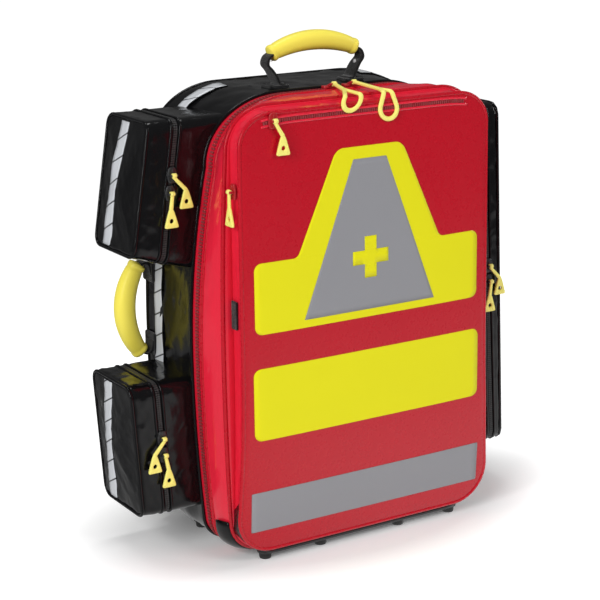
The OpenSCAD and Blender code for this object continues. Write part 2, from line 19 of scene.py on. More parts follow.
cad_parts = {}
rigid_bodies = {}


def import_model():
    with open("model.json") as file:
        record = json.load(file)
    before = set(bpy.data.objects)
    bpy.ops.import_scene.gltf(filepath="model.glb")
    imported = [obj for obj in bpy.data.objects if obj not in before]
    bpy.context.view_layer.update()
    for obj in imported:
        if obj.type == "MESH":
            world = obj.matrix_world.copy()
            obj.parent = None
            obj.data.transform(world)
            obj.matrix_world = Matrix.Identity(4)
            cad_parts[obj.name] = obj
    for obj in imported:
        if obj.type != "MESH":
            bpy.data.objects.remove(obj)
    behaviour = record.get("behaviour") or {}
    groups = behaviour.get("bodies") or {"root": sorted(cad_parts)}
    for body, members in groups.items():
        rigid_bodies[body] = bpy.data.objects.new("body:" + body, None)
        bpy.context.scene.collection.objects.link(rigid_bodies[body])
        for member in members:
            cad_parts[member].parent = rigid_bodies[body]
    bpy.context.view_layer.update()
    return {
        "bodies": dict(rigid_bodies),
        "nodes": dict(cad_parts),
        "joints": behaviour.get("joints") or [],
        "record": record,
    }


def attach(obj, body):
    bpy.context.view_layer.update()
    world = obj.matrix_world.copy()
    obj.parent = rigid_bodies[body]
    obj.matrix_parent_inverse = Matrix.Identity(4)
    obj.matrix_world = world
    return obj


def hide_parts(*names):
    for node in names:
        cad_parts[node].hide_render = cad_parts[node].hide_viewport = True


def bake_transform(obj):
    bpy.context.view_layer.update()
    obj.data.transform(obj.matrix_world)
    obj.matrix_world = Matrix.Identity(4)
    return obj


log = logging.getLogger("trauma_backpack")
MM = 0.001
Array = np.ndarray
Point = tuple[float, float, float]
Socket = bpy.types.NodeSocket

FRONT_Y, SEAM_Y, LID_TAPE_Y, SHELL_Y, BACK_Y = -123.0, -96.0, -65.0, -41.0, 82.0
ALONG_X, ALONG_Y, ALONG_Z = (1.0, 0.0, 0.0), (0.0, 1.0, 0.0), (0.0, 0.0, 1.0)
AHEAD = (0.0, -1.0, 0.0)
TOP_HANDLE_Y = -7.5
SIDE_HANDLE_Y, SIDE_HANDLE_Z = 60.0, 273.5
PIN_Y, PIN_Z = -62.0, 533.5
SLIT_Z = 511.0
EYE = np.array(
    [[1.15, -2.7], [2.3, -2.7], [2.8, -2.2], [2.8, 2.2], [2.3, 2.7], [1.15, 2.7], [1.15, -2.7]]
)


# ---------------------------------------------------------------- shapes from arrays


def eased(t: Array) -> Array:
    """Smooth step: three t squared less two t cubed, with t held between 0 and 1."""
    t = np.clip(t, 0.0, 1.0)
    return t * t * (3.0 - 2.0 * t)


def steps(count: int) -> Array:
    """Even steps from 0 to 1."""
    return np.linspace(0.0, 1.0, count)


def quarter_turn(count: int) -> Array:
    """Angles from 0 to a quarter turn."""
    return np.linspace(0.0, math.pi / 2, count)


def full_turn(count: int) -> Array:
    """Angles round a full turn, without the last, which is the first again."""
    return np.linspace(0.0, 2.0 * math.pi, count, endpoint=False)


def arch(t: Array) -> Array:
    """Half a sine: 0 where t is 0 or 1, and 1 in between."""
    return np.sin(math.pi * t)


def signed_power(v: Array, power: float) -> Array:
    """A power of each value's size, with its sign kept."""
    return np.sign(v) * np.abs(v) ** power


def unit(v: Array) -> Array:
    """Vectors of length one along the last axis."""
    return v / np.maximum(np.linalg.norm(v, axis=-1, keepdims=True), 1e-9)


def crumple(points: Array, seed: int, wave: float, amount: float) -> Array:
    """Creased relief of a coated fabric at each point.

    Seven plane waves in random directions are bent by seven slower ones. Each gives a ridge,
    one less the size of its sine, and the ridges are averaged.

    Args:
        points: places in mm, with x, y, z on the last axis.
        seed: makes the creases the same on every run.
        wave: distance between creases in mm.
        amount: height of the relief in mm.

    Returns:
        Heights in mm, about zero on average.
    """
    rng = np.random.default_rng(seed)
    way = unit(rng.normal(size=(7, 3))) * rng.uniform(0.6, 1.8, (7, 1)) * 2.0 * math.pi / wave
    slow = unit(rng.normal(size=(7, 3))) * math.pi / wave
    bent = points @ way.T + 1.3 * np.sin(points @ slow.T + rng.uniform(0.0, 6.28, 7))
    ridge = (1.0 - np.abs(np.sin(bent + rng.uniform(0.0, 6.28, 7)))) ** 1.6
    return amount * 2.6 * (ridge.mean(axis=-1) - 0.29)


@dataclass
class Shape:
    """Quads over a list of points, with a UV in metres for each corner of each quad."""

    verts: Array
    faces: Array
    uvs: Array

    def turned(self) -> "Shape":
        """The same shape with its faces turned over."""
        return Shape(self.verts, self.faces[:, ::-1], self.uvs[:, ::-1])

    def face_normals(self) -> Array:
        """Half the cross product of each quad's diagonals: its area vector."""
        p = self.verts[self.faces]
        return 0.5 * np.cross(p[:, 2] - p[:, 0], p[:, 3] - p[:, 1])

    def outward(self) -> "Shape":
        """Faces point away from the middle: the sum of normal times distance is positive."""
        n = self.face_normals()
        c = self.verts[self.faces].mean(axis=1)
        return self if ((c - self.verts.mean(axis=0)) * n).sum() >= 0.0 else self.turned()

    def facing(self, way: Point) -> "Shape":
        """Faces point along a direction on the whole."""
        return self if self.face_normals().sum(axis=0) @ np.array(way) >= 0.0 else self.turned()

    def mirrored(self) -> "Shape":
        """The shape's mirror image in X, with its faces kept outward."""
        return Shape(self.verts * [-1.0, 1.0, 1.0], self.faces[:, ::-1], self.uvs[:, ::-1])

    @staticmethod
    def join(parts: Sequence["Shape"]) -> "Shape":
        """Several shapes as one, with each one's corner numbers moved past those before it."""
        starts = np.cumsum([0] + [len(p.verts) for p in parts[:-1]])
        return Shape(
            np.concatenate([p.verts for p in parts]),
            np.concatenate([p.faces + s for p, s in zip(parts, starts)]),
            np.concatenate([p.uvs for p in parts]),
        )


def steps_along(points: Array, close: bool) -> Array:
    """Distance along a row of points from its first, in mm, with one more where it closes."""
    row = np.concatenate([points, points[:1]]) if close else points
    return np.concatenate([[0.0], np.cumsum(np.linalg.norm(np.diff(row, axis=0), axis=-1))])


def grid(points: Array, close: bool = False) -> Shape:
    """A surface of two parameters as quads.

    Args:
        points: rows by columns by 3, in mm.
        close: the last column joins the first.

    Returns:
        The shape, with U the distance along the middle row and V along the middle column.
    """
    rows, cols = points.shape[:2]
    i, j = np.meshgrid(np.arange(rows - 1), np.arange(cols if close else cols - 1), indexing="ij")
    i, j = i.ravel(), j.ravel()
    a, b = np.stack([i, i + 1, i + 1, i], 1), np.stack([j, j, j + 1, j + 1], 1)
    u = steps_along(points[rows // 2], close)
    v = steps_along(points[:, cols // 3], False)
    uvs = np.stack([u[b], v[a]], axis=-1) * MM
    return Shape(points.reshape(-1, 3), a * cols + b % cols, uvs)


def grid_normals(points: Array, close: bool) -> Array:
    """Cross product of the steps along rows and along columns at each point of a surface."""
    down = np.gradient(points, axis=0)
    if close:
        along = (np.roll(points, -1, axis=1) - np.roll(points, 1, axis=1)) / 2.0
    else:
        along = np.gradient(points, axis=1)
    return unit(np.cross(down, along))


def sweep(
    path: Array,
    width: Array | float,
    height: Array | float,
    across: Point,
    close: bool = False,
    sides: int = 16,
    power: float = 2.0,
    ends: float = 0.5,
) -> Shape:
    """A profile carried along a path.

    The profile is a superellipse: width times a power of the cosine across, height times the
    same power of the sine upward. At an open end it shrinks as a quarter circle to a point.

    Args:
        path: points in mm.
        width: half size across, for all or for each point.
        height: half size at right angles to that.
        across: direction that the width keeps near to.
        close: the path is a loop.
        sides: points round the profile.
        power: 2 is an ellipse, larger is squarer.
        ends: length of each rounded end in mm.

    Returns:
        A closed tube.
    """
    n = len(path)
    w = np.broadcast_to(np.asarray(width, float), (n,)).copy()
    h = np.broadcast_to(np.asarray(height, float), (n,)).copy()
    if close:
        tangent = ring_tangent(path)
    else:
        tangent = unit(np.gradient(path, axis=0))
        a = quarter_turn(5)[:-1]
        head = path[0] - tangent[0] * (ends * np.cos(a))[:, None]
        tail = path[-1] + tangent[-1] * (ends * np.cos(a[::-1]))[:, None]
        grow = np.sin(a)
        w = np.concatenate([w[0] * grow, w, w[-1] * grow[::-1]])
        h = np.concatenate([h[0] * grow, h, h[-1] * grow[::-1]])
        tangent = np.concatenate(
            [np.repeat(tangent[:1], 4, 0), tangent, np.repeat(tangent[-1:], 4, 0)]
        )
        path = np.concatenate([head, path, tail])
    over = unit(np.cross(tangent, np.array(across)))
    side = np.cross(over, tangent)
    t = full_turn(sides)
    c = signed_power(np.cos(t), 2.0 / power)
    s = signed_power(np.sin(t), 2.0 / power)
    rim = side[:, None] * (w[:, None] * c)[..., None] + over[:, None] * (h[:, None] * s)[..., None]
    points = path[:, None] + rim
    if close:
        points = np.concatenate([points, points[:1]])
    return grid(points, True).outward()


def spun(profile: Array, centre: Point, axis: int, sides: int = 32) -> Shape:
    """A profile of radius and height turned round an axis of the frame through a centre."""
    t = full_turn(sides)
    points = np.zeros((len(profile), sides, 3))
    points[..., (axis + 1) % 3] = profile[:, :1] * np.cos(t)
    points[..., (axis + 2) % 3] = profile[:, :1] * np.sin(t)
    points[..., axis] = profile[:, 1:]
    return grid(points + np.array(centre), True).outward()


def slab(low: Point, high: Point, corner: float, axis: int = 2, edge: float = 0.8) -> Shape:
    """A plate with round corners and a soft edge, flat across one axis.

    Rounded rectangles are stacked along the axis: they grow from a point to full size as a
    quarter circle turns through the edge, and shrink in the same way.
    """
    lo, hi = np.array(low, float), np.array(high, float)
    a, b = (axis + 1) % 3, (axis + 2) % 3
    mid, half = (lo + hi) / 2.0, (hi - lo) / 2.0
    edge = min(edge, half[axis] * 0.98)
    turn = quarter_turn(4)
    insets = np.concatenate(
        [[1e3, 4.0], edge * (1 - np.sin(turn)), edge * (1 - np.cos(turn)), [4.0, 1e3]]
    )
    rise = np.concatenate(
        [
            [0.0, 0.0], edge * (1 - np.cos(turn)), 2 * half[axis] - edge * (1 - np.sin(turn)),
            [0.0, 0.0]
        ]
    )
    rise[-2:] = 2 * half[axis]
    points = np.zeros((len(insets), 64, 3))
    for k, inset in enumerate(insets):
        ring = rounded_rectangle(max(half[a] - inset, 0.0), max(half[b] - inset, 0.0), corner, 64)
        points[k, :, a], points[k, :, b] = ring[:, 0], ring[:, 1]
    points[..., axis] = (rise - half[axis])[:, None]
    return grid(points + mid, True).outward()


def rounded_rectangle(half_a: float, half_b: float, radius: float, count: int) -> Array:
    """Points round a rectangle with round corners, evenly spaced from the middle of one side."""
    r = min(radius, half_a, half_b)
    q = quarter_turn(9)
    arcs = [
        np.stack([sa * (half_a - r) + r * np.cos(q + o), sb * (half_b - r) + r * np.sin(q + o)], 1)
        for sa, sb, o in (
            (1, 1, 0), (-1, 1, math.pi / 2), (-1, -1, math.pi), (1, -1, 1.5 * math.pi)
        )
    ]
    loop = np.concatenate([[[half_a, 0.0]], *arcs, [[half_a, 0.0]]])
    far = steps_along(loop, False)
    even = np.linspace(0.0, far[-1], count, endpoint=False)
    return np.stack([np.interp(even, far, loop[:, 0]), np.interp(even, far, loop[:, 1])], 1)


def boxes(centres: Array, along: Array, out: Array, size: Point, lift: float = 0.0) -> Shape:
    """Many small blocks at once: each corner is the centre plus or minus half of each side.

    Args:
        centres: one place for each block, in mm.
        along: unit direction of each block's first side.
        out: unit direction of each block's third side, which stands off the surface.
        size: the three sides in mm.
        lift: distance moved along out, in mm.
    """
    third = np.cross(out, along)
    signs = np.array(
        [[x, y, z] for z in (-1, 1) for y in (-1, 1) for x in (-1, 1)]
    ) * np.array(size) / 2.0
    axes = np.stack([along, third, out], axis=1)
    verts = centres[:, None] + out[:, None] * lift + signs[None] @ axes
    quad = np.array(
        [[0, 2, 3, 1], [4, 5, 7, 6], [0, 1, 5, 4], [2, 6, 7, 3], [0, 4, 6, 2], [1, 3, 7, 5]]
    )
    faces = (np.arange(len(centres)) * 8)[:, None, None] + quad[None]
    uvs = np.zeros((len(centres) * 6, 4, 2))
    return Shape(verts.reshape(-1, 3), faces.reshape(-1, 4), uvs)


@dataclass(frozen=True)
class Outline:
    """The pack's front outline: straight base and top, sides bowed as parabolas, round corners."""

    half: float
    bottom: float
    top: float
    widest: float
    narrow_low: float
    narrow_top: float
    r_low: float
    r_up: float
    r_across: float

    def side(self, z: Array) -> Array:
        """Half width: the widest less the narrowing times the square of the share of the way."""
        low = self.half - self.narrow_low * ((self.widest - z) / (self.widest - self.bottom)) ** 2
        high = self.half - self.narrow_top * ((z - self.widest) / (self.top - self.widest)) ** 2
        return np.where(z < self.widest, low, high)

    def inset(self, d: float) -> "Outline":
        """The outline drawn in by a distance."""
        return Outline(
            self.half - d, self.bottom + d, self.top - d, self.widest, self.narrow_low,
            self.narrow_top, max(self.r_low - d, 2.0), max(self.r_up - d, 2.0), max(
                self.r_across - d, 2.0
            ),
        )

    def half_ring(self) -> Array:
        """The right half from the middle of the base to the middle of the top, as x and z."""
        low, high = self.bottom + self.r_low, self.top - self.r_up
        xl, xh = float(self.side(np.array(low))), float(self.side(np.array(high)))
        base = np.linspace(0.0, xl - self.r_low, 13)[:-1]
        a = np.linspace(-math.pi / 2, 0.0, 11)[:-1]
        z = np.linspace(low, high, 41)[:-1]
        b = quarter_turn(21)[:-1]
        top = np.linspace(xh - self.r_across, 0.0, 13)
        return np.concatenate([
            np.stack([base, np.full(12, self.bottom)], 1),
            np.stack([xl - self.r_low + self.r_low * np.cos(a), low + self.r_low * np.sin(a)], 1),
            np.stack([self.side(z), z], 1),
            np.stack(
                [xh - self.r_across + self.r_across * np.cos(b), high + self.r_up * np.sin(b)], 1
            ),
            np.stack([top, np.full(13, self.top)], 1),
        ])

    def ring(self, inset: float = 0.0) -> Array:
        """The closed outline, counterclockwise from the front, as x and z."""
        h = (self.inset(inset) if inset else self).half_ring()
        return np.concatenate([h, (h * [-1.0, 1.0])[-2:0:-1]])

    def at(self, y: float, inset: float = 0.0) -> Array:
        """The closed outline as points at a depth y."""
        r = self.ring(inset)
        return np.stack([r[:, 0], np.full(len(r), y), r[:, 1]], 1)


ZIP = Outline(186, 12, 527, 240, 13, 42, 30, 75, 95)
BACK = Outline(185, 12, 529, 240, 8, 26, 34, 60, 85)
SEAM = Outline(176, 13, 524, 240, 6, 12, 38, 48, 52)
PANEL = Outline(165.5, 16, 519, 260, -10, 1, 44, 36, 40)
POCKET = Outline(163, 14, 522, 260, -7, 0, 40, 42, 46)


def lofted(a: Array, b: Array, rows: int) -> Array:
    """Rings that move evenly from one ring of points to another."""
    t = steps(rows)[:, None, None]
    return a[None] * (1.0 - t) + b[None] * t


def filled(ring: Array, centre: Point, rows: int, start: float = 0.97) -> Array:
    """Rings that shrink about a centre from a ring of points to a single point."""
    s = np.concatenate([np.linspace(start, 0.04, rows - 1), [0.0]])[:, None, None]
    return np.array(centre) + (ring[None] - np.array(centre)) * s


def pushed(points: Array, amounts: Array, close: bool = True, inside_out: bool = False) -> Array:
    """Each point of a surface moved along its normal by its own amount."""
    n = grid_normals(points, close) * (-1.0 if inside_out else 1.0)
    return points + n * amounts[..., None]


# ---------------------------------------------------------------- finishes


class Surface(Enum):
    """What a finish is made of, which chooses its relief and its colour changes."""

    TARP = "coated fabric"
    FILM = "reflective film"
    SLASHED = "tape of slanted reflective segments"
    WOVEN = "woven webbing"
    RIBBED = "woven zip tape"
    MESH = "spacer mesh"
    PLUSH = "loop lining"
    MOULDED = "moulded plastic or rubber"
    CLEAR = "clear film"


class Sheet:
    """A node tree being filled in: adds nodes, sets their sockets and links them."""

    def __init__(self, tree: bpy.types.NodeTree) -> None:
        """Keeps the tree."""
        self.tree = tree

    def add(self, kind: str, sockets: Optional[dict] = None, **settings: object) -> bpy.types.Node:
        """Adds a node.

        Args:
            kind: name of the node's class, without its ShaderNode prefix.
            sockets: input name or number to a value or to an output socket.
            settings: properties of the node.

        Returns:
            The node.
        """
        node = self.tree.nodes.new(kind if kind.startswith("Node") else "ShaderNode" + kind)
        for key, value in settings.items():
            setattr(node, key, value)
        for key, value in (sockets or {}).items():
            if isinstance(value, Socket):
                self.tree.links.new(value, node.inputs[key])
            else:
                node.inputs[key].default_value = value
        return node

    def math(self, what: str, a: object, b: object = 0.0) -> Socket:
        """A Math node's result for two values or sockets."""
        return self.add("Math", {0: a, 1: b}, operation=what).outputs[0]

    def times(self, a: object, b: object, *more: object) -> Socket:
        """The product of two or more values or sockets, taken from the left."""
        result = self.math("MULTIPLY", a, b)
        for value in more:
            result = self.math("MULTIPLY", result, value)
        return result

    def noise(self, where: Socket, scale: float, detail: float) -> Socket:
        """Noise of a scale and a number of octaves."""
        return self.add("TexNoise", {"Vector": where, "Scale": scale, "Detail": detail}).outputs[0]

    def xyz(self, vector: Socket) -> Sequence[Socket]:
        """A vector's three numbers."""
        return self.add("SeparateXYZ", {0: vector}).outputs

    def blend(self, share: object, a: object, b: object) -> Socket:
        """A colour between two, by a share."""
        node = self.add("Mix", data_type="RGBA")
        for spot, value in ((0, share), (6, a), (7, b)):
            if isinstance(value, Socket):
                self.tree.links.new(value, node.inputs[spot])
            else:
                node.inputs[spot].default_value = value
        return node.outputs[2]


class Effects:
    """Shared effects as node groups. Each puts out only values and colours that vary."""

    def __init__(self) -> None:
        """Builds every group once."""
        self.crinkle = self.make_crinkle()
        self.weave = self.make_weave()
        self.handling = self.make_handling()
        self.wear = self.make_wear()

    @staticmethod
    def new_group(
        name: str, ins: dict[str, tuple[str, object]], outs: dict[str, str]
    ) -> tuple[Sheet, bpy.types.Node, bpy.types.Node]:
        """Starts a group.

        Args:
            name: the group's name.
            ins: input name to its kind and first value.
            outs: output name to its kind.

        Returns:
            The sheet, the node of inputs and the node of outputs.
        """
        tree = bpy.data.node_groups.new(name, "ShaderNodeTree")
        for label, (kind, value) in ins.items():
            socket = tree.interface.new_socket(
                label, in_out="INPUT", socket_type="NodeSocket" + kind
            )
            if value is not None:
                socket.default_value = value
        for label, kind in outs.items():
            tree.interface.new_socket(label, in_out="OUTPUT", socket_type="NodeSocket" + kind)
        sheet = Sheet(tree)
        return sheet, sheet.add("NodeGroupInput"), sheet.add("NodeGroupOutput")

    def make_crinkle(self) -> bpy.types.NodeTree:
        """Soft folds with finer creases on them: noise plus ridged noise of a shorter wave."""
        s, i, o = self.new_group(
            "soft_crinkle",
            {"Vector": ("Vector", None), "Scale": ("Float", 20.0), "Creases": ("Float", 0.5)},
            {"Height": "Float"},
        )
        soft = s.add(
            "TexNoise",
            {"Vector": i.outputs[0], "Scale": i.outputs[1], "Detail": 2.0, "Distortion": 0.6}
        )
        fine = s.add(
            "TexNoise",
            {
                "Vector": i.outputs[0], "Scale": s.times(i.outputs[1], 1.7), "Detail": 3.0,
                "Distortion": 1.2
            },
            noise_type="RIDGED_MULTIFRACTAL",
        )
        height = s.math("ADD", soft.outputs[0], s.times(fine.outputs[0], i.outputs[2]))
        s.tree.links.new(height, o.inputs[0])
        return s.tree

    def make_weave(self) -> bpy.types.NodeTree:
        """Plain weave: where two sines agree in sign the one thread is on top, else the other."""
        s, i, o = self.new_group(
            "plain_weave",
            {"Vector": ("Vector", None), "Threads": ("Float", 600.0)},
            {"Height": "Float", "Thread": "Float"},
        )
        xyz = s.xyz(i.outputs[0])
        along = s.math("SINE", s.times(xyz[0], i.outputs[1], math.pi))
        across = s.math("SINE", s.times(xyz[1], i.outputs[1], math.pi))
        over = s.math("GREATER_THAN", s.times(along, across), 0.0)
        warp = s.times(s.math("ABSOLUTE", along), over)
        weft = s.times(s.math("ABSOLUTE", across), s.math("SUBTRACT", 1.0, over))
        s.tree.links.new(s.math("ADD", warp, weft), o.inputs[0])
        s.tree.links.new(over, o.inputs[1])
        return s.tree

    def make_handling(self) -> bpy.types.NodeTree:
        """Slow changes of colour and gloss, with a little dust where the surface faces up."""
        s, i, o = self.new_group(
            "handling",
            {
                "Vector": ("Vector", None), "Colour": ("Color", (0.5, 0.5, 0.5, 1.0)),
                "Roughness": ("Float", 0.4), "Spread": ("Float", 0.15), "Dust": ("Float", 0.03),
            },
            {"Colour": "Color", "Roughness": "Float"},
        )
        slow = s.noise(i.outputs[0], 9.0, 4.0)
        quick = s.noise(i.outputs[0], 140.0, 3.0)
        change = s.times(s.math("SUBTRACT", slow, 0.5), i.outputs[3])
        level = s.math("ADD", 1.0, change)
        tinted = s.add(
            "VectorMath", {0: i.outputs[1], "Scale": level}, operation="SCALE"
        ).outputs[0]
        up = s.xyz(s.add("NewGeometry").outputs["Normal"])[2]
        dust = s.times(s.math("MAXIMUM", up, 0.0), quick, i.outputs[4])
        s.tree.links.new(s.blend(dust, tinted, (0.55, 0.53, 0.5, 1.0)), o.inputs[0])
        rough = s.math("ADD", i.outputs[2], s.times(s.math("SUBTRACT", quick, 0.5), 0.12))
        s.tree.links.new(s.math("ADD", rough, dust), o.inputs[1])
        return s.tree

    def make_wear(self) -> bpy.types.NodeTree:
        """Paler, rubbed edges: pointiness above a level, broken up by noise."""
        s, i, o = self.new_group(
            "edge_wear",
            {
                "Vector": ("Vector", None), "Colour": ("Color", (0.5, 0.5, 0.5, 1.0)),
                "Worn": ("Color", (0.6, 0.6, 0.6, 1.0)), "Amount": ("Float", 0.2)
            },
            {"Colour": "Color", "Mask": "Float"},
        )
        point = s.add("NewGeometry").outputs["Pointiness"]
        noise = s.noise(i.outputs[0], 220.0, 4.0)
        edge = s.add("MapRange", {0: point, 1: 0.51, 2: 0.62}).outputs[0]
        mask = s.times(edge, noise, i.outputs[3])
        s.tree.links.new(s.blend(mask, i.outputs[1], i.outputs[2]), o.inputs[0])
        s.tree.links.new(mask, o.inputs[1])
        return s.tree


@dataclass(frozen=True)
class Finish:
    """One finish: its record slot, surface, colour and how it shines and wrinkles."""

    name: str
    slot: str
    surface: Surface
    colour: tuple[float, float, float]
    roughness: float = 0.4
    coat: float = 0.0
    relief: float = 0.25
    scale: float = 20.0
    dust: float = 0.02
    spread: float = 0.12
    specular: float = 0.5

    def height(self, s: Sheet, fx: Effects, spot: Socket, uv: Socket) -> tuple[Socket, float]:
        """The relief of this surface.

        Args:
            s: the material's sheet.
            fx: the shared effects.
            spot: object coordinates.
            uv: the piece's own UV in metres.

        Returns:
            The height socket and the bump distance in metres.
        """
        if self.surface in (Surface.TARP, Surface.FILM, Surface.CLEAR):
            fold = s.add("Group", {0: spot, 1: self.scale, 2: 0.35}, node_tree=fx.crinkle)
            grain = s.noise(spot, 900.0, 1.0)
            return s.math("ADD", fold.outputs[0], s.times(grain, 0.02)), 0.004
        if self.surface in (Surface.WOVEN, Surface.SLASHED, Surface.MESH):
            where = self.flat(s, spot) if self.surface == Surface.MESH else uv
            cloth = s.add("Group", {0: where, 1: self.scale}, node_tree=fx.weave)
            return cloth.outputs[0], 0.0006
        if self.surface == Surface.RIBBED:
            v = s.xyz(uv)
            rib = s.math("SINE", s.times(v[1], 2.0 * math.pi * self.scale))
            thread = s.math("SINE", s.times(v[0], 2.0 * math.pi * self.scale * 2.3))
            return s.math("ADD", rib, s.times(thread, 0.4)), 0.0004
        if self.surface == Surface.PLUSH:
            pile = s.add("TexVoronoi", {"Vector": spot, "Scale": self.scale}).outputs[0]
            return pile, 0.0012
        fine = s.noise(spot, self.scale, 3.0)
        return fine, 0.0006

    @staticmethod
    def flat(s: Sheet, spot: Socket) -> Socket:
        """Object coordinates laid flat: x plus y beside z, so that threads run on every side."""
        xyz = s.xyz(spot)
        return s.add("CombineXYZ", {0: s.math("ADD", xyz[0], xyz[1]), 1: xyz[2]}).outputs[0]

    def material(self, fx: Effects) -> bpy.types.Material:
        """Builds the material.

        Args:
            fx: the shared effects.

        Returns:
            A material whose Principled BSDF is fed by the groups and keeps its own constants.
        """
        mat = bpy.data.materials.new(self.name)
        mat.use_nodes = True
        tree = mat.node_tree
        s, shader = Sheet(tree), tree.nodes["Principled BSDF"]
        where = s.add("TexCoord").outputs
        spot, uv = where["Object"], where["UV"]
        values = {0: spot, 1: (*self.colour, 1.0), 2: self.roughness, 3: self.spread, 4: self.dust}
        hand = s.add("Group", values, node_tree=fx.handling)
        tint, rough = hand.outputs[0], hand.outputs[1]
        if self.surface == Surface.SLASHED:
            place = s.xyz(uv)
            lean = s.math("ADD", place[1], s.times(place[0], 0.55))
            share = s.math("FRACT", s.math("DIVIDE", lean, 0.026))
            gap = s.math("LESS_THAN", share, 0.075)
            tint = s.blend(gap, tint, (0.03, 0.03, 0.035, 1.0))
        if self.surface == Surface.MOULDED:
            pale = tuple(min(1.0, 0.25 + 0.8 * c) for c in self.colour) + (1.0,)
            values = {0: spot, 1: tint, 2: pale, 3: 0.35}
            tint = s.add("Group", values, node_tree=fx.wear).outputs[0]
        high, distance = self.height(s, fx, spot, uv)
        bump = s.add("Bump", {"Strength": self.relief, "Distance": distance, "Height": high})
        tree.links.new(tint, shader.inputs["Base Color"])
        tree.links.new(rough, shader.inputs["Roughness"])
        tree.links.new(bump.outputs[0], shader.inputs["Normal"])
        constants = {
            "Coat Weight": self.coat, "Specular IOR Level": self.specular, "Coat Roughness": 0.12
        }
        if self.surface in (Surface.WOVEN, Surface.MESH, Surface.PLUSH):
            constants |= {"Sheen Weight": 0.25, "Sheen Roughness": 0.4}
        if self.surface == Surface.CLEAR:
            constants["Alpha"] = 0.32
        for socket, value in constants.items():
            shader.inputs[socket].default_value = value
        return mat


